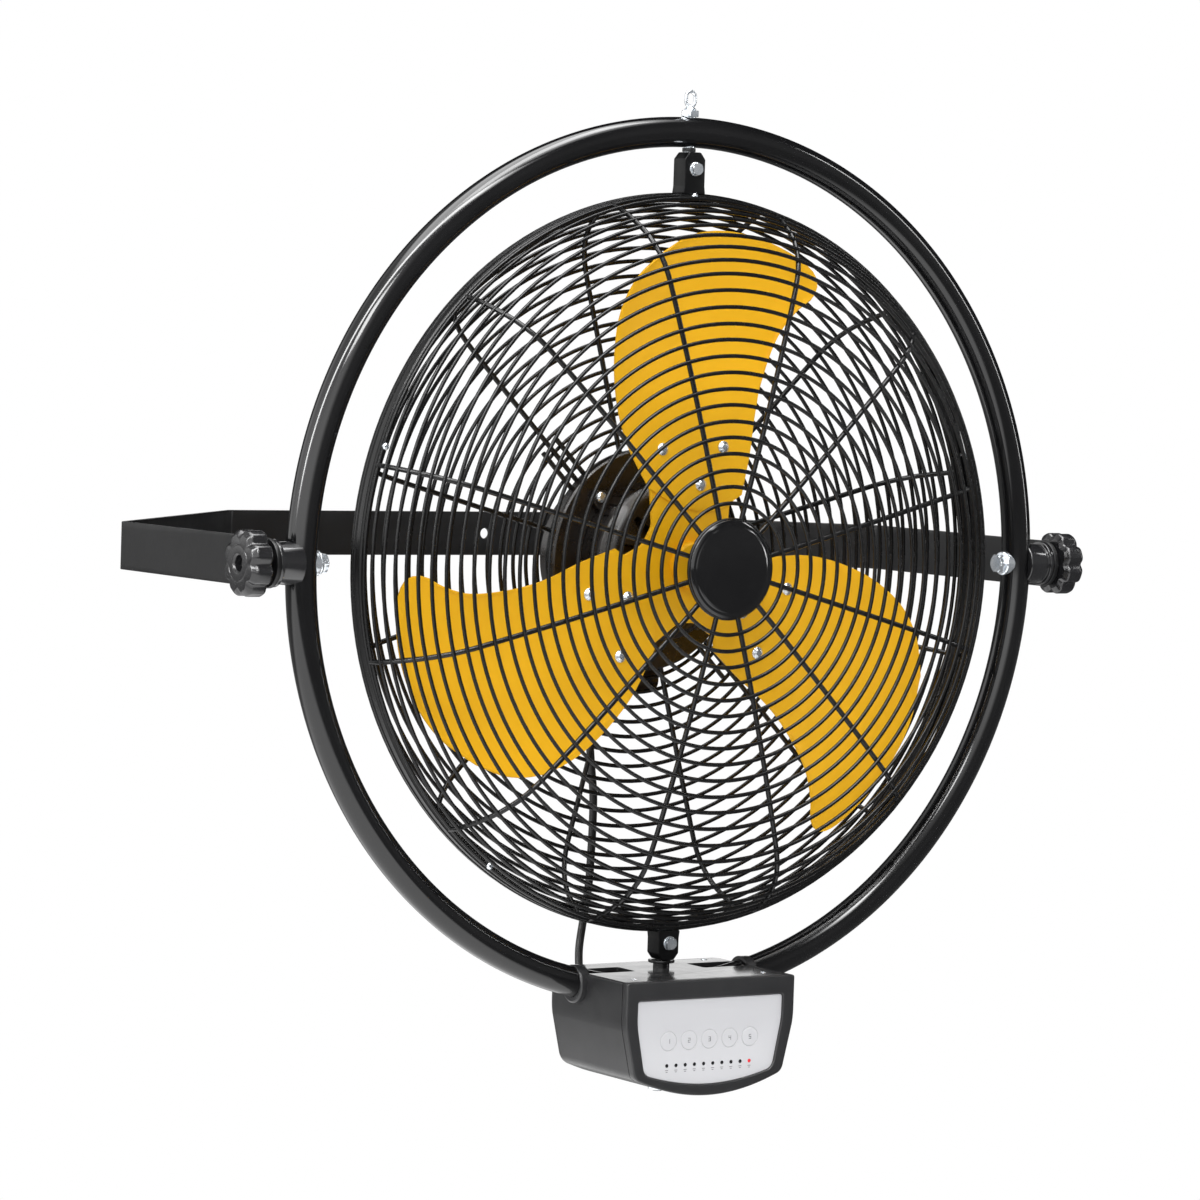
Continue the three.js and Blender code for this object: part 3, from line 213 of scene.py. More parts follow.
def material(name, slot=None):
    mat = bpy.data.materials.new(name)
    mat.use_nodes = True
    SLOTS[mat.name] = slot
    shader = next(n for n in mat.node_tree.nodes if n.type == "BSDF_PRINCIPLED")
    return mat, Nodes(mat.node_tree), shader


def surface(name, slot, dark, light, rough, tone, bump, metal=0.0, spec=0.5, grain=900.0,
            depth=0.0002, fine=0.0):
    """Base colour drifts between two tones, roughness between two values, and a fine bump
    gives the skin: orange peel on paint, moulded grain on plastic."""
    mat, n, shader = material(name, slot)
    normal = n.bump(grain, 2.0, bump, depth)
    if fine:
        normal = n.bump(grain * 3.7, 1.0, fine, depth * 0.5, normal)
    n.fill(shader, {
        "Metallic": metal, "Specular IOR Level": spec, "Normal": normal,
        "Base Color": n.ramp(n.noise(tone, 4.0, 0.6), 0.3, 0.7, dark, light),
        "Roughness": n.wear(tone * 3.1, 5.0, *rough)})
    return mat


COAT = surface("gloss_coat", "black_powder_coat", (0.005, 0.005, 0.0054),
               (0.0078, 0.0078, 0.0083), (0.09, 0.14), spec=0.55, tone=14, grain=520, bump=0.015)
SATIN = ((0.004, 0.004, 0.0044), (0.007, 0.007, 0.0075))
STRAP = surface("strap_coat", "black_powder_coat", *SATIN, (0.36, 0.46), spec=0.36, tone=14,
                grain=700, bump=0.18)
BRACKET = surface("bracket_coat", "black_powder_coat", *SATIN, (0.3, 0.4), spec=0.2, tone=24,
                  grain=700, bump=0.2)
WIRE = surface("wire_paint", "guard_wire_paint", (0.004, 0.004, 0.0042),
               (0.007, 0.007, 0.0072), (0.22, 0.30), spec=0.32, tone=20, grain=500, bump=0.10)
RIM = surface("rim_paint", "black_powder_coat", (0.004, 0.004, 0.0042),
              (0.0065, 0.0065, 0.0068), (0.24, 0.32), spec=0.32, tone=14, grain=600, bump=0.14)
YELLOW = surface("yellow_paint", "blade_yellow_paint", (0.87, 0.445, 0.006), (0.95, 0.5, 0.008),
                 (0.36, 0.48), spec=0.2, tone=9, grain=420, bump=0.08, depth=0.0003)
ZINC = surface("zinc", "zinc_plated_steel", (0.62, 0.67, 0.72), (0.88, 0.91, 0.94), (0.14, 0.24),
               metal=0.8, spec=0.8, tone=90, grain=600, bump=0.08)
PLASTIC = surface("moulded_plastic", "black_matte_plastic", (0.018, 0.018, 0.019),
                  (0.024, 0.024, 0.025), (0.3, 0.4), spec=0.42, tone=18, grain=1500, bump=0.22,
                  depth=0.00015, fine=0.1)
KNOB = surface("knob_plastic", "black_matte_plastic", (0.01, 0.01, 0.011),
               (0.015, 0.015, 0.016), (0.17, 0.26), spec=0.6, tone=24, grain=1500, bump=0.12,
               depth=0.00015, fine=0.08)
COLLAR = surface("collar_plastic", "black_matte_plastic", (0.012, 0.012, 0.013),
                 (0.017, 0.017, 0.018), (0.10, 0.16), spec=0.8, tone=24, bump=0.05)
GLOSS = surface("gloss_plastic", "badge_gloss_plastic", (0.0045, 0.0045, 0.005),
                (0.0065, 0.0065, 0.007), (0.08, 0.15), tone=24, grain=260, bump=0.04)
# the box's top: polished, and its base colour painted lighter than the rest of the moulding,
# standing in for the light the top catches
LID_POLISH_AND_PAINTED_LIGHT = surface("polished_lid_painted_light", "black_matte_plastic", (0.034, 0.034, 0.035),
              (0.044, 0.044, 0.045), (0.10, 0.17), spec=0.7, tone=24, bump=0.05)
MOTOR = surface("motor_paint", "motor_black_paint", (0.0075, 0.0058, 0.0048),
                (0.013, 0.0095, 0.0075), (0.22, 0.34), spec=0.6, tone=26, grain=500, bump=0.22,
                depth=0.0003)
RUBBER = surface("lead_rubber", "lead_rubber", (0.006, 0.006, 0.006), (0.01, 0.01, 0.01),
                 (0.44, 0.56), spec=0.4, tone=40, bump=0.2)
STEEL = surface("drive_steel", "drive_steel", (0.34, 0.35, 0.36), (0.48, 0.49, 0.5),
                (0.28, 0.42), metal=1.0, tone=70, grain=800, bump=0.15)
BOARD = surface("board", "board_green", (0.012, 0.075, 0.032), (0.018, 0.10, 0.045),
                (0.35, 0.5), tone=60, grain=700, bump=0.2)
MARK = surface("panel_mark", "black_matte_plastic", (0.1, 0.1, 0.105), (0.13, 0.13, 0.135),
               (0.45, 0.55), tone=60, bump=0.05)
LED_DARK = surface("led_dark", "panel_light_gray", (0.01, 0.01, 0.011), (0.014, 0.014, 0.015),
                   (0.16, 0.24), tone=60, bump=0.02)
LED_RED = surface("led_red", "panel_light_gray", (0.62, 0.02, 0.03), (0.74, 0.04, 0.05),
                  (0.16, 0.24), tone=60, bump=0.02)


def panel_material():
    """Satin light gray film with a very fine sparkle, and painted light that makes it a touch
    lighter toward its foot.
    """
    mat, n, shader = material("panel_film", "panel_light_gray")
    foot, head = -0.372, -0.311
    z = n.add("SeparateXYZ", {"Vector": n.add("TexCoord", out="Object")}, "Z")
    # painted light: the base colour grows lighter toward the panel's foot, as if more light fell
    # there
    painted_foot_light = n.fade(z, foot, head, 0.0, 1.0, "LINEAR")
    fleck_and_painted_light = n.math("MULTIPLY_ADD", n.noise(2600, 2.0, 0.6), 0.16, painted_foot_light)
    n.fill(shader, {
        "Specular IOR Level": 0.4, "Normal": n.bump(1600, 2.0, 0.08, 0.0001),
        "Base Color": n.ramp(fleck_and_painted_light, 0.0, 1.1, (0.57, 0.57, 0.58), (0.5, 0.5, 0.512)),
        "Roughness": n.wear(70, 4.0, 0.34, 0.44)})
    return mat


PANEL = panel_material()


# -------------------- mesh helpers
AXES = {"X": lambda u, v, h: (h, u, v), "Y": lambda u, v, h: (u, h, v),
        "Z": lambda u, v, h: (u, v, h)}


def as_object(bm, name="part"):
    mesh = bpy.data.meshes.new(name)
    bm.to_mesh(mesh)
    bm.free()
    ob = bpy.data.objects.new(name, mesh)
    scene.collection.objects.link(ob)
    return ob


def place(bm, name, mats, body, replaces=None, slot=None, sharp=32, centred=True):
    """Turn a bmesh in millimetres into a piece of the fan and let it ride on its body. The slot
    argument is not used."""
    mats = mats if isinstance(mats, tuple) else (mats,)
    bmesh.ops.recalc_face_normals(bm, faces=bm.faces[:])
    if centred:
        shift(bm, *RING_CENTRE)
    bmesh.ops.scale(bm, verts=bm.verts[:], vec=(MM, MM, MM))
    ob = as_object(bm, name)
    ob.data.shade_smooth()
    ob.data.set_sharp_from_angle(angle=radians(sharp))
    for mat in mats:
        ob.data.materials.append(mat)
    if body:
        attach(ob, body)
    slot or SLOTS[mats[0].name]
    if replaces:
        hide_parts(replaces)
    return ob


def merge(first, *others):
    """One bmesh out of several."""
    for part in others:
        mesh = bpy.data.meshes.new("part")
        part.to_mesh(mesh)
        part.free()
        first.from_mesh(mesh)
        bpy.data.meshes.remove(mesh)
    return first


def shift(bm, x=0, y=0, z=0):
    bmesh.ops.translate(bm, verts=bm.verts[:], vec=(x, y, z))
    return bm


def turn(bm, angle, axis):
    bmesh.ops.rotate(bm, verts=bm.verts[:], cent=(0, 0, 0), matrix=Matrix.Rotation(angle, 3, axis))
    return bm


def spaced(count, make):
    """count copies of a shape, evenly turned round the fan's axis."""
    return [turn(make(), TAU * (k + 0.5) / count, "Y") for k in range(count)]


def settled(ob, tools=()):
    """What an object's modifiers make of it, as a bmesh. The object and its tools go."""
    bpy.context.view_layer.update()
    result = ob.evaluated_get(bpy.context.evaluated_depsgraph_get())
    out = bmesh.new()
    out.from_mesh(result.to_mesh())
    result.to_mesh_clear()
    for spent in (ob, *tools):
        mesh = spent.data
        bpy.data.objects.remove(spent)
        bpy.data.meshes.remove(mesh)
    return out


def boolean(bm, tools, how="DIFFERENCE"):
    """Cut or join with each tool in turn, exactly."""
    obs = []
    for source in (bm, *tools):
        bmesh.ops.recalc_face_normals(source, faces=source.faces[:])
        obs.append(as_object(source))
    for tool in obs[1:]:
        mod = obs[0].modifiers.new("cut", "BOOLEAN")
        mod.operation, mod.solver, mod.object = how, "EXACT", tool
    return settled(obs[0], obs[1:])


def rounded(points, steps=4):
    """Points (a, b) or (a, b, radius): those with a radius become arcs, but not the ends."""
    out = []
    for i, p in enumerate(points):
        half = pi
        if len(p) > 2 and p[2] > 0 and 0 < i < len(points) - 1:
            a, b, c = (Vector(q[:2]) for q in points[i - 1:i + 2])
            d0, d1 = (a - b).normalized(), (c - b).normalized()
            half = acos(max(-1, min(1, d0.dot(d1)))) / 2
        if half > pi / 2 - 0.02:
            out.append((p[0], p[1]))
            continue
        back = min(p[2] / tan(half), (a - b).length * 0.49, (c - b).length * 0.49)
        centre = b + (d0 + d1).normalized() * (back * tan(half) / sin(half))
        s, e = b + d0 * back - centre, b + d1 * back - centre
        whole = atan2(s.x * e.y - s.y * e.x, s.dot(e))
        for k in range(steps + 1):
            w = whole * k / steps
            out.append((centre.x + s.x * cos(w) - s.y * sin(w),
                        centre.y + s.x * sin(w) + s.y * cos(w)))
    return out


def rounded_loop(points, steps=4):
    """The same for a closed outline, with all its corners."""
    wrapped = [points[-1], *points, points[0]]
    return [p for i in range(len(points)) for p in rounded(wrapped[i:i + 3], steps)[1:-1]]


def circle(r, u=0.0, v=0.0, n=32):
    return [(u + r * cos(TAU * k / n), v + r * sin(TAU * k / n)) for k in range(n)]


def half_circle(r, u, v, start):
    return [(u + r * cos(start + pi * k / 20), v + r * sin(start + pi * k / 20))
            for k in range(21)]


def oblong(u0, u1, v0, v1, r=0):
    return [(u0, v0, r), (u1, v0, r), (u1, v1, r), (u0, v1, r)]


def skin(rows, closed=False, sheet=False):
    """Quads through a grid of points; rows of one point are poles. The end rows are capped,
    unless the rows close on themselves or the grid is an open sheet."""
    bm = bmesh.new()
    grid = [[bm.verts.new(p) for p in row] for row in rows]
    for a, b in zip(grid, grid[1:] + grid[:1] if closed else grid[1:]):
        n = max(len(a), len(b))
        for i in range(n - 1 if sheet else n):
            j = (i + 1) % n
            corners = (a[i % len(a)], a[j % len(a)], b[j % len(b)], b[i % len(b)])
            loop = list(dict.fromkeys(corners))
            if len(loop) > 2:
                bm.faces.new(loop)
    if not (closed or sheet):
        for row in (grid[0], grid[-1]):
            if len(row) > 2:
                bm.faces.new(row)
    return bm


def revolve(profile, steps, axis="Y", closed=False, radius=None, arc=4):
    """Turn (r, h) or (r, h, corner radius) points round an axis. radius(angle, r) may reshape
    the round."""
    angles = [TAU * i / steps for i in range(steps)]
    rows = []
    for r, h in rounded(profile, arc):
        flat = [(a, radius(a, r) if radius else r) for a in angles] if r > 1e-6 else [(0, 0)]
        rows.append([AXES[axis](q * cos(a), q * sin(a), h) for a, q in flat])
    return skin(rows, closed)


def rod(d, h0, h1, axis="Y", steps=32, chamfer=0.0):
    r = d / 2
    profile = [(r, h0), (r, h1)]
    if chamfer:
        profile = [(r - chamfer, h0), (r, h0 + chamfer), (r, h1 - chamfer), (r - chamfer, h1)]
    return revolve(profile, steps, axis)


def torus(big, small, y, major, minor):
    return revolve(circle(small, big, y, minor), major, closed=True)


def hexagon(af, h0, h1, axis, bore=0.0):
    """Hexagon head or nut whose corners are turned down toward its faces."""
    corner = af / 2 / cos(TAU / 12)
    drop = (corner - af / 2) * 0.9
    tip, rise, inner = corner - drop, drop * 0.6, bore / 2
    rows = [(tip, h1), (corner, h1 - rise), (corner, h0 + rise), (tip, h0)]
    if bore:
        rows = [(inner + 0.5, h1), *rows, (inner + 0.5, h0), (inner, h0 + 0.5), (inner, h1 - 0.5)]

    def rule(angle, r):
        if bore and r < af / 2 - 0.8:
            return r
        return min(af / 2 / cos(angle % (TAU / 6) - TAU / 12), r)

    return revolve(rows, 72, axis, bool(bore), rule)


def sweep(points, radius, sides=10, closed=False):
    """Round tube along points, its section carried without twist."""
    pts = [Vector(p) for p in points]
    rows, normal = [], None
    for i, p in enumerate(pts):
        before = pts[i - 1] if closed or i > 0 else p
        after = pts[(i + 1) % len(pts)] if closed or i < len(pts) - 1 else p
        t = (after - before).normalized()
        normal = t.orthogonal() if normal is None else normal
        normal = (normal - t * normal.dot(t)).normalized()
        side = t.cross(normal)
        rows.append([p + normal * u + side * v for u, v in circle(radius, n=sides)])
    return skin(rows, closed)


def inset(loop, amount):
    """Move a loop to its left by an amount, with mitred corners."""
    out = []
    for i in range(len(loop)):
        a, b, c = Vector(loop[i - 1]), Vector(loop[i]), Vector(loop[(i + 1) % len(loop)])
        d0, d1 = (b - a).normalized(), (c - b).normalized()
        n0, n1 = Vector((-d0.y, d0.x)), Vector((-d1.y, d1.x))
        m = (n0 + n1) / max(0.35, 1 + n0.dot(n1))
        out.append((b.x + m.x * amount, b.y + m.y * amount))
    return out


def signed_area(loop):
    return sum(a[0] * b[1] - b[0] * a[1] for a, b in zip(loop, loop[1:] + loop[:1])) / 2


def plate(loops, lo, hi, axis="Y", edge=0.5, edge_lo=None, steps=3, arc=4):
    """Flat plate with rounded rims. loops[0] is the outline, the others are holes, and their
    points may have a corner radius."""
    low = edge if edge_lo is None else edge_lo
    turns = [pi / 2 * k / steps for k in range(steps + 1)]
    levels = [(low * (1 - sin(a)), lo + low * (1 - cos(a))) for a in turns] if low else [(0, lo)]
    levels += ([(edge * (1 - cos(a)), hi - edge * (1 - sin(a))) for a in turns] if edge
               else [(0, hi)])
    bm = bmesh.new()
    rims = ([], [])
    for k, points in enumerate(loops):
        loop = rounded_loop(points, arc)
        if (signed_area(loop) < 0) == (k == 0):
            loop.reverse()
        rows = [[bm.verts.new(AXES[axis](u, v, w))
                 for u, v in (inset(loop, amount) if amount else loop)] for amount, w in levels]
        for a, b in zip(rows, rows[1:]):
            for i in range(len(loop)):
                j = (i + 1) % len(loop)
                bm.faces.new((a[i], a[j], b[j], b[i]))
        for rim_edges, row in zip(rims, (rows[0], rows[-1])):
            moved = row[1:] + row[:1]
            rim_edges += [bm.edges.get(pair) for pair in zip(row, moved)]
            if len(loops) == 1:
                bm.faces.new(moved)
    if len(loops) > 1:
        for rim_edges in rims:
            bmesh.ops.triangle_fill(bm, edges=rim_edges, use_beauty=True)
    return bm


def catmull(points, steps=24):
    """Centripetal spline through points, as a dense polyline."""
    p = [Vector(q) for q in points]
    p = [p[0] * 2 - p[1], *p, p[-1] * 2 - p[-2]]
    out = []
    for i in range(1, len(p) - 2):
        a, b, c, d = p[i - 1:i + 3]
        t0, t1, t2 = (max((v - u).length ** 0.5, 1e-4) for u, v in ((a, b), (b, c), (c, d)))
        m1 = ((b - a) / t0 - (c - a) / (t0 + t1) + (c - b) / t1) * t1
        m2 = ((c - b) / t1 - (d - b) / (t1 + t2) + (d - c) / t2) * t1
        for k in range(steps):
            t = k / steps
            out.append((2 * t ** 3 - 3 * t ** 2 + 1) * b + (t ** 3 - 2 * t ** 2 + t) * m1
                       + (3 * t ** 2 - 2 * t ** 3) * c + (t ** 3 - t ** 2) * m2)
    out.append(p[-2])
    return out


def along(line, count):
    """count points at equal steps along a polyline."""
    reach = [0.0]
    for a, b in zip(line, line[1:]):
        reach.append(reach[-1] + (b - a).length)
    out, k = [], 0
    for i in range(count):
        s = reach[-1] * i / (count - 1)
        while k < len(reach) - 2 and reach[k + 1] < s:
            k += 1
        gap = reach[k + 1] - reach[k]
        out.append(line[k].lerp(line[k + 1], 0 if gap == 0 else (s - reach[k]) / gap))
    return out


# -------------------- sizes shared with the solids
PLAY = 0.3                                   # between pieces that sit on one another
RING_R, TUBE_R = 314.0, 11.0
RING_OUT, RING_IN = RING_R + TUBE_R, RING_R - TUBE_R
ARM_IN, ARM_OUT = RING_OUT + 13.8, RING_OUT + 17.4
RIM_R, RIM_FRONT, RIM_BACK = 270.0, -5.9, 6.5
HEAD_TOP, HEAD_FOOT = RING_IN - 3.5, 291.0   # end plates of the head's two brackets
BOX_TOP, BOX_FRONT, BOX_BACK = -297.3, -67.0, 39.0
BOX_HALF = 73.2
BOX_BOTTOM = -382
INLET_Z = -340


# -------------------- motor lead
def fall(x, y, share):
    """A point of the lead that has come down by a share of its whole drop."""
    return (x, y, -108.6 - 231.4 * share)


LEAD = [
    (-20, 72, -108.6), (-20, 72.4, -115.6), fall(-18.4, 77, 0.08), fall(-15.4, 82, 0.123),
    fall(-11.8, 86.2, 0.175), fall(-7.6, 90, 0.235), fall(-3.6, 93.4, 0.3),
    fall(-0.8, 97, 0.395), fall(0.4, 99.8, 0.499), fall(0, 101, 0.602), fall(-4.4, 100.2, 0.715),
    fall(-10, 96, 0.819), fall(-13.6, 86.5, 0.905), fall(-14.9, 74, 0.961),
    fall(-15, 63.4, 0.989), (-15, 53.3, INLET_Z), (-15, 47.6, INLET_Z),
]


def motor_lead():
    line = along(catmull(LEAD, 30), 220)
    ob = place(sweep(line, 3.0, 20), "motor_lead_rubber", RUBBER, None, "motor_lead")
    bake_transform(ob)


motor_lead()


# -------------------- wall bracket
def strap():
    """A flat strip with its holes, laid along a U with round bends."""
    thick, bend, half = 3.6, 9.0, 17.5
    path = [Vector(p) for p in ((ARM_OUT, -400), (ARM_OUT, -183), (153, 0), (-153, 0),
                                (-ARM_OUT, -183), (-ARM_OUT, -400))]
    # straight: from, to, point, direction, 0; bend: from, to, centre, first angle, angle
    segments, cuts = [], []
    s, here = 0.0, path[0]
    for i in range(1, len(path)):
        b = path[i]
        d = (b - path[i - 1]).normalized()
        d1 = (path[i + 1] - b).normalized() if i < len(path) - 1 else d
        angle = atan2(d.x * d1.y - d.y * d1.x, d.dot(d1))
        back = bend * tan(angle / 2)
        stop = b - d * back
        segments.append((s, s + (stop - here).length, here, d, 0))
        s = segments[-1][1]
        if angle:
            centre = stop + Vector((-d.y, d.x)) * bend
            start = atan2(stop.y - centre.y, stop.x - centre.x)
            segments.append((s, s + bend * angle, centre, start, angle))
            cuts += [s + bend * angle * k / 8 for k in range(9)]
            s = segments[-1][1]
            here = b + d1 * back
    total = s

    def at(u, t):
        """The place of a point u along the strip and t into it."""
        s0, s1, p, d, angle = next((seg for seg in segments if u <= seg[1] + 1e-6), segments[-1])
        if not angle:
            return p + d * (u - s0) + Vector((-d.y, d.x)) * t
        a = d + angle * (u - s0) / (s1 - s0)
        return p + (bend - t) * Vector((cos(a), sin(a)))

    outline = half_circle(half, 0, 0, pi / 2) + half_circle(half, total, 0, -pi / 2)
    holes = [circle(4.3, u, 0, 28) for u in (0, total)]
    holes += [circle(4.25, total / 2 + u, 0, 28) for u in (-82, 82)]
    bm = plate([outline, *holes], 0, thick)
    for c in cuts + [total * k / 40 for k in range(1, 40)]:
        geom = bm.verts[:] + bm.edges[:] + bm.faces[:]
        bmesh.ops.bisect_plane(bm, geom=geom, dist=1e-5, plane_co=(c, 0, 0), plane_no=(1, 0, 0))
    for v in bm.verts:
        v.co = (*at(v.co.x, v.co.y), v.co.z)
    place(bm, "strap", STRAP, "wall_bracket", "bracket_strap", centred=False)


strap()


# -------------------- ring tube and tilt joint
def ring():
    plus, minus = (RING_IN - 5, RING_OUT + 5), (-RING_OUT - 5, -RING_IN + 5)
    bores = [rod(8.6, *plus, "X"), rod(8.6, *minus, "X"), rod(8.6, *plus, "Z"),
             rod(10.6, *minus, "Z")]
    place(boolean(torus(RING_R, TUBE_R, 0, 320, 36), bores), "ring_tube_coat", COAT,
          "ring_frame", "ring_tube", sharp=40)


ring()


def tube_cutter(reach, sides):
    """A straight piece as thick as the ring's tube, upright at its right side."""
    return shift(sweep([(0, 0, reach * k / 2) for k in range(-2, 3)], TUBE_R + PLAY, sides),
                 x=RING_R)


def tilt_side(side, name):
    def handed(bm):
        return bm if side > 0 else turn(bm, pi, "Z")

    seat = RING_IN - 0.9
    flange = revolve([(0, seat - 2.4), (8.2, seat - 2.4, 0.4), (9, seat - 1.2, 0.5),
                      (9, seat, 0.2), (0, seat)], 48, "X")
    # formed washer whose outer side fits the tube
    washer = revolve([(4.3, seat - 0.2), (8.9, seat - 0.2, 0.2), (8.9, RING_R - 6),
                      (4.3, RING_R - 6)], 48, "X", closed=True)
    flange = merge(flange, boolean(washer, [tube_cutter(30, 48)]))
    head = hexagon(13, seat - 7.1, seat - 1.6, "X")
    shank = rod(8, seat - 1, ARM_OUT + 12, "X", chamfer=0.6)
    dimple = revolve([(0, seat - 7.3), (3.6, seat - 7.3), (3.2, seat - 6.9), (0, seat - 6.7)],
                     32, "X")
    place(handed(merge(flange, head, shank, dimple)), f"tilt_bolt_{name}_zinc", ZINC,
          "ring_frame", f"tilt_bolt_{name}")
    # saddle collar: a tapered socket on the tube and a flange under the arm
    end = ARM_IN - PLAY
    collar = revolve([(4.3, RING_R + 4), (16.0, RING_R + 4, 1), (14.6, end - 4.2, 0.8),
                      (14.6, end - 3.2, 0.4), (16.75, end - 3.0, 0.6), (16.75, end, 0.5),
                      (4.3, end)], 72, "X", closed=True, arc=5)
    place(handed(boolean(collar, [tube_cutter(40, 40)])), f"collar_{name}_moulding", COLLAR,
          "ring_frame", f"collar_{name}")
    start = ARM_OUT + PLAY
    grip = start + 4

    def lobed(angle, r):
        share = max(0.0, min(1.0, (r - 12.5) / 8))
        return r - share * 3.2 * (0.5 + 0.5 * cos(8 * angle)) ** 2.6

    knob = revolve([
        (0, start + 13), (4.3, start + 13), (4.3, start), (10, start, 0.5), (10, grip - 0.4, 0.4),
        (19.5, grip, 1.2), (23.9, grip + 2.4, 2.2), (23.9, grip + 14.0, 3.2),
        (20.2, grip + 17.4, 2.6), (13.4, grip + 17.7, 0.3), (12.9, grip + 17.3, 0.2),
        (12.4, grip + 17.75, 0.3), (7.2, grip + 17.9, 0.9), (5.6, grip + 16.8, 0.6),
        (5.0, grip + 11.4, 0.5), (0, grip + 11.4)], 192, "X", radius=lobed, arc=5)
    place(handed(knob), f"knob_{name}_grip", KNOB, f"knob_{name}", f"knob_{name}", sharp=40)


tilt_side(1, "right")
tilt_side(-1, "left")


# -------------------- top pivot and brackets
def top_pivot():
    foot = RING_OUT + PLAY
    place(hexagon(12, foot, foot + 4.5, "Z", 8.2), "eye_nut_zinc", ZINC, "ring_frame", "eye_nut")
    neck = foot + 4.5 + 1.6
    loop = half_circle(3.9, 0, neck + 8.4, 0) + half_circle(3.9, 0, neck + 5.2, pi)
    eye = sweep([(x, 0, z) for x, z in loop], 1.3, 20, closed=True)
    top = HEAD_TOP
    shank = revolve([(0, top - 6.8), (3.6, top - 6.8, 0.3), (4, top - 6.2, 0.2),
                     (4, foot + 4.9, 0.4), (4.6, foot + 5.3, 0.3), (3.2, neck + 0.4, 0.8),
                     (2.0, neck + 1.8), (0, neck + 2.0)], 40, "Z")
    place(merge(eye, shank), "eye_bolt_zinc", ZINC, "ring_frame", "eye_bolt")
    place(hexagon(10.8, top - 6.8, top - 2.8, "Z", 8.2), "top_lock_nut_zinc", ZINC,
          "ring_frame", "top_lock_nut")
    bush = [(4.3, top + 0.3), (4.9, top + 0.3, 0.2), (4.9, RING_IN - 0.4, 0.2),
            (4.3, RING_IN - 0.4)]
    place(revolve(bush, 40, "Z", closed=True), "top_bush_ring", PLASTIC, "ring_frame", "top_bush")


top_pivot()


def bracket(sense, name, end, cross):
    """Folded sheet bracket: chamfered front plate, two cheeks, foot and end plate."""
    base, w, foot = RIM_R + PLAY, 8.9, 9.7
    outline = [(x, z * sense, r) for x, z, r in (
        (-foot, base - 1.2, 1.0), (foot, base - 1.2, 1.0), (w, base + 4.5, 3), (w, end - 5, 2),
        (w * 0.55, end, 1.6), (-w * 0.55, end, 1.6), (-w, end - 5, 2), (-w, base + 4.5, 3))]
    a, b = sorted(((base + 2.5) * sense, (end - 2.5) * sense))
    pocket = plate([oblong(-7.2, 7.2, a, b, 1)], -6.7, 12, edge=0, edge_lo=0.6, arc=3)
    low, high = (b - 1, end + 1) if sense > 0 else (-end - 1, a + 1)
    z = cross * sense
    tools = [pocket, rod(8.6, low, high, "Z"), shift(rod(6.6, -10, -5), z=z)]
    place(boolean(plate([outline], -9, 6.2, edge=0.7), tools), f"{name}_bracket_sheet", BRACKET,
          "fan_head", f"{name}_bracket")
    face = -9.3
    head = turn(hexagon(8.4, face - 4, face - 0.9, "Y"), 0.3, "Y")
    washer = revolve([(0, face - 1.2), (5.1, face - 1.2, 0.4), (5.3, face, 0.2), (0, face)], 40)
    shank = rod(6, face - 1, -2, steps=28, chamfer=0.4)
    place(shift(merge(head, washer, shank), z=z), f"{name}_cross_bolt_zinc", ZINC, "fan_head",
          f"{name}_cross_bolt")


bracket(1, "top", HEAD_TOP, HEAD_TOP - 12.2)
bracket(-1, "bottom", HEAD_FOOT, HEAD_FOOT - 12.7)


# -------------------- guards
FRONT_LINE = [(34, -71.0), (60, -71.2), (100, -70.8), (141.5, -69.6), (165, -68.4), (188, -66.9),
              (200, -66), (212, -64.8), (222, -63), (231.4, -59.4), (239.8, -53.6), (246.9, -47),
              (252.2, -39.8), (257, -32.5), (261.6, -24.5), (265.9, -15.8), (267.7, -7.6)]
FRONT_RINGS = [35.6, 47.5, 59.4, 71.1, 83.2, 94.9, 106.4, 118.2, 129.7, 141.5, 153.2, 165, 176.4,
               188.3, 200.4, 212.2, 222, 231.4, 239.8, 246.9, 252.2, 257, 261.6, 265.9, 267.7]
REAR_LINE = [(78, 47.8), (120, 47.8), (180, 47.6), (209, 47.3), (220, 46.8), (229, 45.2),
             (238, 41.4), (246, 36.2), (252, 29.8), (257, 22.8), (261.4, 15.8), (264.2, 11),
             (267.7, 8.2)]
REAR_RINGS = [80.0, 89, 98.6, 109.6, 120.6, 131.6, 142.6, 153.6, 164.6, 175.6, 186.8, 198, 209,
              220, 229.5, 238, 246, 252, 257, 261.4, 264.6, 267.7]
SPOKE_AT = [radians(15 + 30 * k) for k in range(12)]
RING_WIRE, SPOKE_WIRE = 1.5, 1.9             # radii


def guard_curve(points):
    return catmull([(r, y, 0) for r, y in points], 16)


def depth_at(line, r):
    for a, b in zip(line, line[1:]):
        if a.x <= r <= b.x:
            return a.y + (b.y - a.y) * (r - a.x) / max(b.x - a.x, 1e-6)
    return line[-1].y if r > line[-1].x else line[0].y


def guard(points, rings, out):
    """Ring wires welded on the outside of twelve bent spokes."""
    line = guard_curve(points)
    parts = [torus(r, RING_WIRE, depth_at(line, r) + out * 0.2, 144 if r > 60 else 72, 8)
             for r in rings]
    inner = along(line, 34)
    parts += [sweep([(p.x * cos(a), p.y - out * 1.5, p.x * sin(a)) for p in inner], SPOKE_WIRE)
              for a in SPOKE_AT]
    return merge(*parts)


def front_guard():
    # plate behind the badge that the spokes are welded to
    disc = revolve([(0, -70.2), (33, -70.2, 0.3), (33.6, -69.6, 0.3), (33, -68.8, 0.3),
                    (0, -68.8)], 64)
    place(merge(guard(FRONT_LINE, FRONT_RINGS, -1), disc), "front_guard_wires", WIRE,
          "fan_head", "front_guard", sharp=60)


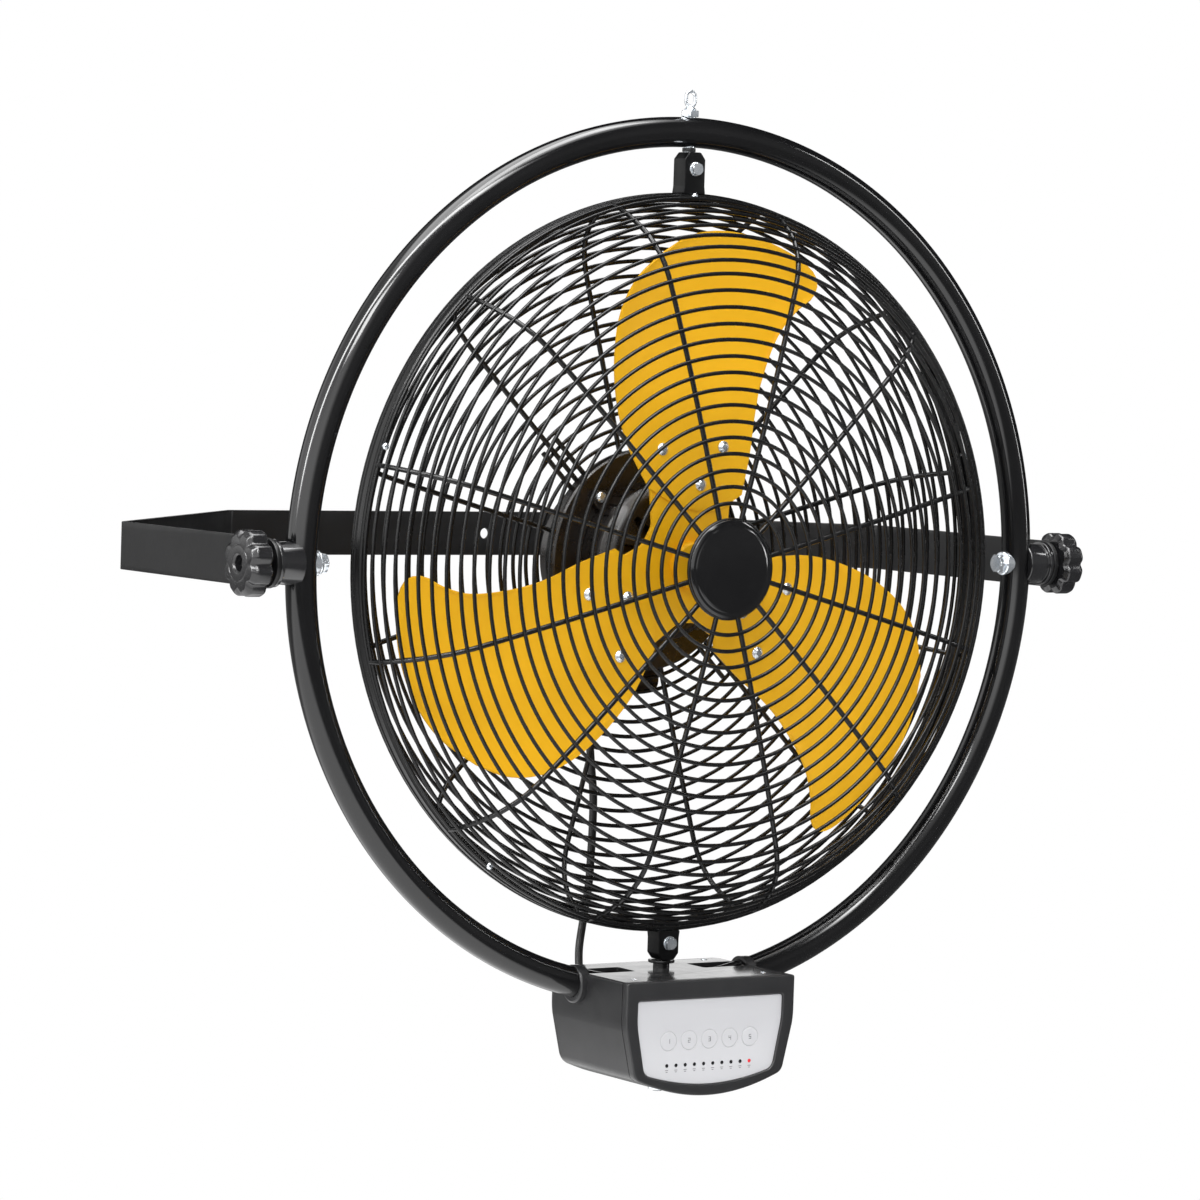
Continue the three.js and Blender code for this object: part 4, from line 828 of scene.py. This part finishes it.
def rear_guard():
    """The rear net, with four pairs of short wires behind the motor."""
    line = guard_curve(REAR_LINE)
    radii = [79 + 38 * i / 8 for i in range(9)]
    pairs = []
    for k in range(4):
        c, s = cos(radians(45 + 90 * k)), sin(radians(45 + 90 * k))
        pairs += [sweep([(r * c - off * s, depth_at(line, r) - 2.2, r * s + off * c)
                         for r in radii], SPOKE_WIRE) for off in (-7.5, 7.5)]
    place(merge(guard(REAR_LINE, REAR_RINGS, 1), *pairs), "rear_guard_wires", WIRE, "fan_head",
          "rear_guard", sharp=60)


front_guard()
rear_guard()


def rim():
    """Rolled channel whose two lips hold the guards, with five screws through the front lip."""
    a, b = RIM_FRONT, RIM_BACK
    band = rounded([
        (266.2, a + 1.6), (265, a + 1.6, 0.7), (265, a, 0.7), (268.8, a, 1.0),
        (RIM_R, a + 1.6, 1.4), (RIM_R, a + 3.4, 0.6), (269.2, a + 4.3, 0.6),
        (269.2, b - 4.3, 0.6), (RIM_R, b - 3.4, 0.6), (RIM_R, b - 1.6, 1.4), (268.8, b, 1.0),
        (265.6, b, 0.7), (265.6, b - 1.6, 0.7), (267, b - 1.6, 0.8), (267.6, b - 2.6, 0.8),
        (267.6, a + 2.6, 0.8), (267, a + 1.6, 0.8), (266.2, a + 1.6)])
    place(revolve(band[:-1], 240, closed=True), "guard_rim_band", RIM, "fan_head", "guard_rim",
          sharp=50)
    seat, reach = a - 3.4, 267.3
    for k in range(5):
        angle = pi / 2 + TAU * k / 5
        head = revolve([(0, seat - 2.2), (1.5, seat - 2.1, 0.4), (2.5, seat - 1.2, 0.7),
                        (2.6, seat, 0.2), (1.4, seat, 0.1), (1.4, a - 0.02, 0.1), (0, a - 0.02)],
                       28)
        cross = [plate([oblong(-1.6, 1.6, -0.3, 0.3, 0.1)], seat - 3.0, seat - 1.5, edge=0, arc=2)
                 for _ in (0, 1)]
        turn(cross[1], pi / 2, "Y")
        place(shift(boolean(head, cross), reach * cos(angle), 0, reach * sin(angle)),
              f"rim_screw_{k + 1}", ZINC, "fan_head")


rim()


def badge():
    y = -71.3
    place(revolve([(0, y - 4.5), (16, y - 4.4), (29.5, y - 3.9, 3), (31.0, y - 3.4, 0.4),
                   (31.8, y - 3.0, 0.3), (33.6, y - 3.3, 0.6), (35.6, y - 2.2, 1.2),
                   (35.9, y - 0.6, 0.5), (35.4, y, 0.3), (0, y)], 128, arc=5),
          "badge_cap", GLOSS, "fan_head", "guard_badge")


badge()

# -------------------- rotor
BLADE_Y, BLADE_THICK, BLADE_R = -20.5, 1.5, 244.0
RIVETS = [(-27.9, 83.9), (25.3, 86.0), (6.4, 58.5)]


def blade_edge(*points):
    """A curve through points given as shares of the blade's radius."""
    return catmull([(x * BLADE_R, z * BLADE_R) for x, z in points])


LEADING = blade_edge((-0.157, 0.226), (-0.242, 0.363), (-0.286, 0.504), (-0.298, 0.629),
                     (-0.28, 0.75), (-0.226, 0.848), (-0.138, 0.924))
TRAILING = blade_edge((0.177, 0.21), (0.202, 0.339), (0.214, 0.444), (0.242, 0.565),
                      (0.298, 0.694), (0.363, 0.765), (0.415, 0.8))
TIP = blade_edge((-0.138, 0.924), (-0.022, 0.98), (0.093, 0.998), (0.218, 0.985), (0.323, 0.952),
                 (0.405, 0.91), (0.444, 0.868), (0.441, 0.828), (0.415, 0.8))
ROOT = blade_edge((-0.157, 0.226), (-0.048, 0.177), (0.081, 0.161), (0.177, 0.21))


def smoothstep(x, a, b):
    t = max(0.0, min(1.0, (x - a) / (b - a)))
    return t * t * (3 - 2 * t)


def blade_sheet():
    """A grid between the four edges, hollowed and twisted toward the tip, then thickened."""
    cols, rows = 28, 36
    lead, trail = along(LEADING, rows + 1), along(TRAILING, rows + 1)
    tip, root = along(TIP, cols + 1), along(ROOT, cols + 1)

    def point(i, j):
        u, v = i / cols, j / rows
        low, high = root[0].lerp(root[-1], u), tip[0].lerp(tip[-1], u)
        p = lead[j].lerp(trail[j], u) + root[i].lerp(tip[i], v) - low.lerp(high, v)
        hollow = 36 * u * (1 - u) * smoothstep(p.y, 106, 175)
        twist = 0.03 * p.x * smoothstep(p.y, 106, 160)
        return (p.x, BLADE_Y + BLADE_THICK / 2 + hollow + twist, p.y)

    ob = as_object(skin([[point(i, j) for i in range(cols + 1)] for j in range(rows + 1)],
                        sheet=True))
    thick = ob.modifiers.new("thick", "SOLIDIFY")
    thick.thickness, thick.offset = BLADE_THICK, 0
    edge = ob.modifiers.new("edge", "BEVEL")
    edge.width, edge.segments = 0.5, 2
    edge.limit_method, edge.angle_limit = "ANGLE", radians(50)
    return settled(ob)


def rotor():
    y = BLADE_Y
    outline = []
    for k in range(3):
        angle = -TAU * k / 3
        place(turn(blade_sheet(), angle, "Y"), f"blade_{k + 1}_sheet", YELLOW, "rotor",
              f"blade_{k + 1}", sharp=45)
        heads = []
        for x, z in RIVETS:
            front = revolve([(0, y - 2.9), (2.2, y - 2.7, 1.2), (4.6, y - 1.0, 1.4),
                             (4.8, y + 0.02), (0, y + 0.02)], 32, arc=5)
            rear = revolve([(0, y + 4.6), (3.4, y + 4.6), (4.2, y + 5.6, 0.8),
                            (2.6, y + 6.8, 1), (0, y + 6.9)], 24)
            heads += [shift(front, x, 0, z), shift(rear, x, 0, z)]
        place(turn(merge(*heads), angle, "Y"), f"rivets_{k + 1}", ZINC, "rotor")
        for x, z, r in ((33, 28, 10), (36, 78, 6), (33, 96, 5), (-35, 96, 5), (-38, 78, 6),
                        (-33, 28, 10)):
            outline.append((x * cos(angle) + z * sin(angle), z * cos(angle) - x * sin(angle), r))
    y += 1.8
    arms = plate([outline, circle(6.3)], y, y + 3, arc=5)
    hub = revolve([(6.3, y - 8), (15.5, y - 8, 1.2), (17, y - 6, 1.2), (17, y + 10, 1),
                   (15.8, y + 11, 0.8), (6.3, y + 11)], 64, closed=True)
    place(merge(arms, hub), "spider_plate", YELLOW, "rotor", "blade_spider")
    shaft = [(0, y - 12), (5.2, y - 12, 0.3), (6, y - 11, 0.3), (6, 20), (0, 20)]
    place(revolve(shaft, 40), "shaft_steel", STEEL, "rotor", "motor_shaft")


rotor()


# -------------------- motor
def motor():
    f, b = 2.0, 36.7                         # front and back of the bell
    bell = revolve([(6.3, f + 18), (6.3, f), (14, f, 1), (16, f + 2, 1), (29, f + 0.4, 3),
                    (51, f + 4, 8), (58, f + 12, 5), (58, b, 0.6), (0, b), (0, f + 18)], 128,
                   arc=5)
    ears = spaced(4, lambda: plate([[(-7, 50), (7, 50), (7, 66, 6.6), (0, 73, 3), (-7, 66, 6.6)]],
                                   b - 6, b, edge=0.8, arc=5))
    slots = spaced(12, lambda: plate([[(-3, 24, 2.4), (3, 24, 2.4), (3, 46, 2.8), (-3, 46, 2.8)]],
                                     f - 2, f + 9, edge=0))
    slots += spaced(36, lambda: plate([oblong(-1.1, 1.1, 56.6, 62)], f + 16, b - 8.5, edge=0))
    place(merge(boolean(bell, slots), *ears), "motor_bell", MOTOR, "fan_head", "motor_body")
    seat = b - 6
    head = [(0, seat - 3.2), (2.4, seat - 3.1, 0.6), (4, seat - 1.8, 1), (4.1, seat, 0.2),
            (0, seat)]
    screws = spaced(4, lambda: shift(merge(revolve(head, 32), rod(4, seat - 1, b + 3, steps=20)),
                                     z=66))
    for k, screw in enumerate(screws):
        place(screw, f"motor_screw_{k + 1}", ZINC, "fan_head")
    p = 37.0                                 # front of the rear plate
    back = revolve([
        (0, p), (80.5, p, 1), (82, p + 1.5, 1), (82, p + 8.6, 1.4), (80, p + 9, 0.8),
        (69, p + 9, 2), (62, p + 15, 4), (62, 60), (62, 87, 4), (56, 94, 4), (30, 95, 2),
        (24, 93.6, 2), (12, 93.6, 2), (9, 95, 1), (0, 95)], 144, arc=6)
    vents = spaced(16, lambda: plate([[(-2, 34, 1.9), (2, 34, 1.9), (2.6, 50, 2.4),
                                       (-2.6, 50, 2.4)]], 91, 99, edge=0))
    place(boolean(back, vents), "motor_can", MOTOR, "fan_head", "motor_plate")
    block = plate([[(-26, -46), (26, -46), (26, -100, 9), (-26, -100, 9)]], 54, 88, edge=1.4,
                  steps=4, arc=7)
    cover = plate([[(-21, -67, 4), (21, -67, 4), (21, -95.5, 6), (-21, -95.5, 6)]], 86, 88.8,
                  edge=0.7, arc=5)
    place(merge(boolean(block, [rod(124.6, 40, 100, steps=144)]), cover), "terminal_cover", MOTOR,
          "fan_head", "terminal_box")
    for k, (x, z) in enumerate([(-16.5, -71), (16.5, -71), (-16.5, -90.5), (16.5, -90.5)]):
        head = revolve([(0, 88.7), (2.9, 88.7), (2.8, 89.6, 0.4), (1.6, 90.3, 0.5), (0, 90.4)], 28)
        place(shift(head, x, 0, z), f"terminal_screw_{k + 1}", ZINC, "fan_head")


motor()


def gland(name, body, angle, where):
    """Ribbed strain relief of a cord."""
    profile = [(3.2, 0), (7, 0, 0.5), (7, 2.6, 0.4), (6.1, 3.2, 0.2)]
    for k in range(3):
        h, r = 3.2 + 1.5 * k, 5.7 - 0.25 * k
        profile += [(r, h + 0.3, 0.1), (r, h + 1.0, 0.1), (r - 0.7, h + 1.15, 0.1),
                    (r - 0.7, h + 1.5, 0.1)]
    bm = revolve([*profile, (4.4, 8, 0.3), (3.2, 8)], 48, "Z", closed=True, arc=3)
    place(shift(turn(bm, angle, "X"), *where), f"{name}_ribbed", PLASTIC, body, name)


gland("motor_gland", "fan_head", pi, (-20, 72, -100.3))
gland("lead_inlet", "ring_frame", -pi / 2, (-15, BOX_BACK + PLAY, INLET_Z))
gland("mains_inlet", "ring_frame", -pi / 2, (34, BOX_BACK + PLAY, INLET_Z))

# -------------------- control box
FACE = BOX_FRONT + 1.4                       # front of the panel
BUTTON_Z, BUTTON_PITCH = -341, 17.8
LAMP_Z, LAMP_START, LAMP_PITCH = -358.8, -36.4, 8.02


def quadratic(a, b, c, n):
    return [((1 - t) ** 2 * a[0] + 2 * t * (1 - t) * b[0] + t * t * c[0],
             (1 - t) ** 2 * a[1] + 2 * t * (1 - t) * b[1] + t * t * c[1])
            for t in (k / n for k in range(1, n + 1))]


def box_outline(side, top, bottom, corner=5.0):
    """The box from the front, drawn in by side, top and bottom."""
    a, z = BOX_HALF - side, BOX_TOP - top
    c, d, low = 64.3 - side * 0.85, -368 + bottom * 0.45, BOX_BOTTOM + bottom
    half = [(a - 2, z), *quadratic((a - 2, z), (a, z), (a, z - 2), 5), (a, -322)]
    half += quadratic((a, -322), (a, -328), (a - 0.95, -333.5), 6)
    half += [(c + 1.1, d + corner),
             *quadratic((c + 1.1, d + corner), (c, d), (c - corner, d - 1.7), 6),
             *quadratic((c - corner, d - 1.7), (c * 0.45, low), (0, low), 16)]
    return half + [(-x, z) for x, z in reversed(half[:-1])]


def figure(number, y):
    """A small figure made of plain bars."""
    h, w, t = 1.5, 0.84, 0.21                # half its height and width, half a bar
    ends = {"a": (-w, h, w, h), "b": (w, 0, w, h), "c": (w, -h, w, 0), "d": (-w, -h, w, -h),
            "e": (-w, -h, -w, 0), "f": (-w, 0, -w, h), "g": (-w, 0, w, 0)}
    parts = []
    for bar in {1: "bc", 2: "abged", 3: "abgcd", 4: "fgbc", 5: "afgcd"}[number]:
        x0, z0, x1, z1 = ends[bar]
        parts.append(plate([oblong(x0 - t, x1 + t, z0 - t, z1 + t)], y, y + 0.25, edge=0))
    return merge(*parts)


def box_shell():
    front = BOX_FRONT + 7.0
    loop = box_outline(0, 0, 0)
    rows = [[(x, front, z) for x, z in loop]]
    for k in range(10):                      # the back's rounded edge
        a = pi / 2 * k / 9
        side, low = 6.0 * (1 - cos(a)), 11.0 * (1 - cos(a))
        rows.append([(x * (1 - side / BOX_HALF), BOX_BACK - 11.0 * (1 - sin(a)),
                      BOX_TOP - 0.25 * side - (BOX_TOP - z) * (1 + low / (BOX_BOTTOM - BOX_TOP)))
                     for x, z in loop])
    # collars round the tube, on both sides
    tube_z = -sqrt(RING_R ** 2 - BOX_HALF ** 2) - 0.6
    boss = [(0, 70), (14, 70), (14, 77.4, 0.9), (12.6, 78.2, 0.5), (0, 78.2)]
    bosses = [turn(shift(revolve(boss, 72, "X"), z=tube_z), angle, "Z") for angle in (pi, 0)]
    shell = boolean(skin(rows), bosses, "UNION")
    lid = (BOX_TOP - 4, BOX_TOP + 1)
    tools = [plate([box_outline(4.5, 3, 6)], front - 2, BOX_BACK - 3, edge=0)]
    tools += [plate([oblong(x0, x1, -12, 12, 2.5)], *lid, axis="Z", edge=0)
              for x0, x1 in ((-70.2, -30), (30, 70.2))]
    tools += [torus(RING_R, TUBE_R + PLAY, 0, 320, 36), rod(12.6, *lid, "Z"),
              rod(8.6, BOX_BOTTOM - 1, BOX_BOTTOM + 4, "Z")]
    ob = place(boolean(shell, tools), "box_shell_moulding", (PLASTIC, LID_POLISH_AND_PAINTED_LIGHT), "ring_frame",
               "box_shell")
    # the top faces take the lid's material, whose base colour is painted lighter to stand in for
    # the light they catch
    for face in ob.data.polygons:
        if face.normal.z > 0.95 and face.center.z > (BOX_TOP - 0.6) * MM:
            face.material_index = 1
    bezel = plate([box_outline(0, 0, 0), box_outline(10, 13.6, 8.2, 4.0)], BOX_FRONT,
                  front - PLAY, edge=0.4, edge_lo=1.2)
    place(bezel, "box_bezel_frame", PLASTIC, "ring_frame", "box_bezel")


def box_panel():
    buttons = [(k - 2) * BUTTON_PITCH for k in range(5)]
    holes = [circle(7.05, x, BUTTON_Z, 48) for x in buttons]
    panel = plate([box_outline(10.3, 13.9, 8.5, 4.0), *holes], FACE, FACE + 5.6, edge=0,
                  edge_lo=0.15)
    place(panel, "panel_face", PANEL, "ring_frame", "panel_plate")
    for k, x in enumerate(buttons):
        body = f"button_{k + 1}"
        button = revolve([(0, FACE - 0.3), (6.2, FACE - 0.28, 1), (6.93, FACE + 0.05, 0.4),
                          (6.93, FACE + 8), (0, FACE + 8)], 56)
        place(shift(button, x, 0, BUTTON_Z), f"{body}_cap", PANEL, body, body)
        place(shift(figure(k + 1, FACE - 0.33), x, 0, BUTTON_Z), f"{body}_figure", MARK, body)
    ticks = []
    for k in range(10):
        x = LAMP_START + LAMP_PITCH * k
        dot = revolve([(0, FACE - 0.32), (0.9, FACE - 0.28, 0.4), (1.4, FACE - 0.02),
                       (1.4, FACE + 0.4), (0, FACE + 0.4)], 28)
        place(shift(dot, x, 0, LAMP_Z), f"lamp_{k + 1}", LED_RED if k == 9 else LED_DARK,
              "ring_frame")
        ticks += [plate([oblong(x - half, x + half, z - 0.22, z + 0.22)], FACE - 0.05,
                        FACE + 0.3, edge=0) for half, z in ((1.3, -362.2), (0.85, -363.5))]
    place(merge(*ticks), "panel_ticks", MARK, "ring_frame")


def lid_screws():
    z = BOX_TOP
    for x, side in ((-56.5, "l"), (56.5, "r")):
        for y, end in ((-50, "f"), (27, "b")):
            screw = revolve([(0, z - 0.5), (1.2, z - 0.5), (1.2, z + 0.3, 0.1),
                             (2.3, z + 0.25, 0.3), (2.6, z + 0.02), (2.6, z - 0.4),
                             (0, z - 0.6)], 28, "Z", arc=3)
            place(shift(screw, x, y), f"lid_screw_{side}{end}", ZINC, "ring_frame")


box_shell()
box_panel()
lid_screws()


def pivot():
    flange = -HEAD_FOOT - PLAY
    shaft = revolve([
        (0, -283), (4, -283), (4, flange), (9.75, flange, 0.6), (9.75, flange - 2.2, 0.6),
        (6, flange - 2.2, 0.6), (6, BOX_TOP - 3.6), (5, BOX_TOP - 3.6), (5, -348), (4, -348),
        (4, -388, 0.6), (3.4, -388.3), (0, -388.3)], 56, "Z", arc=5)
    place(shaft, "pivot_shaft_coat", GLOSS, "fan_head", "pivot_shaft", "black_powder_coat")
    top = BOX_BOTTOM - PLAY
    place(hexagon(13, top - 5, top, "Z", 8.2), "pivot_end_nut_zinc", ZINC, "fan_head",
          "pivot_end_nut")


pivot()

# solids that no piece replaces get their look here
for name, mat in (("circuit_board", BOARD), ("gear_motor", STEEL), ("drive_crank", STEEL),
                  ("drive_link", STEEL), ("drive_lever", STEEL)):
    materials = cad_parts[name].data.materials
    materials.clear()
    materials.append(mat)

# -------------------- floor
def pale_floor(z=-1.0, half=30):
    """White for the camera; shiny pieces mirror a bright card that lies on its left part."""
    mesh = bpy.data.meshes.new("floor")
    mesh.from_pydata([(-half, -half, z), (half, -half, z), (half, half, z), (-half, half, z)], [],
                     [(0, 1, 2, 3)])
    ob = bpy.data.objects.new("floor", mesh)
    scene.collection.objects.link(ob)
    mat, n, shader = material("floor_white")
    n.fill(shader, {"Base Color": (0.86, 0.86, 0.87, 1), "Roughness": 0.8})
    place_on = n.add("SeparateXYZ", {"Vector": n.add("TexCoord", out="Object")}).node.outputs
    card = n.math("MULTIPLY", n.fade(place_on["X"], 0.2, 0.8, 1.7, 0.0),
                  n.fade(place_on["Y"], 0.6, 1.8, 1.0, 0.1))
    level = n.math("MULTIPLY_ADD", card, n.fade(place_on["Y"], -3.2, -2.2, 0.0, 1.0), 0.14)
    mirrored = n.mix(n.add("LightPath", out="Is Glossy Ray"), shader.outputs[0],
                     n.add("Emission", {"Color": WHITE, "Strength": level}))
    seen = n.mix(n.add("LightPath", out="Is Camera Ray"), mirrored,
                 n.add("Emission", {"Color": WHITE, "Strength": 1.0}))
    out = next(node for node in mat.node_tree.nodes if node.type == "OUTPUT_MATERIAL")
    n.fill(out, {"Surface": seen})
    mesh.materials.append(mat)


pale_floor()
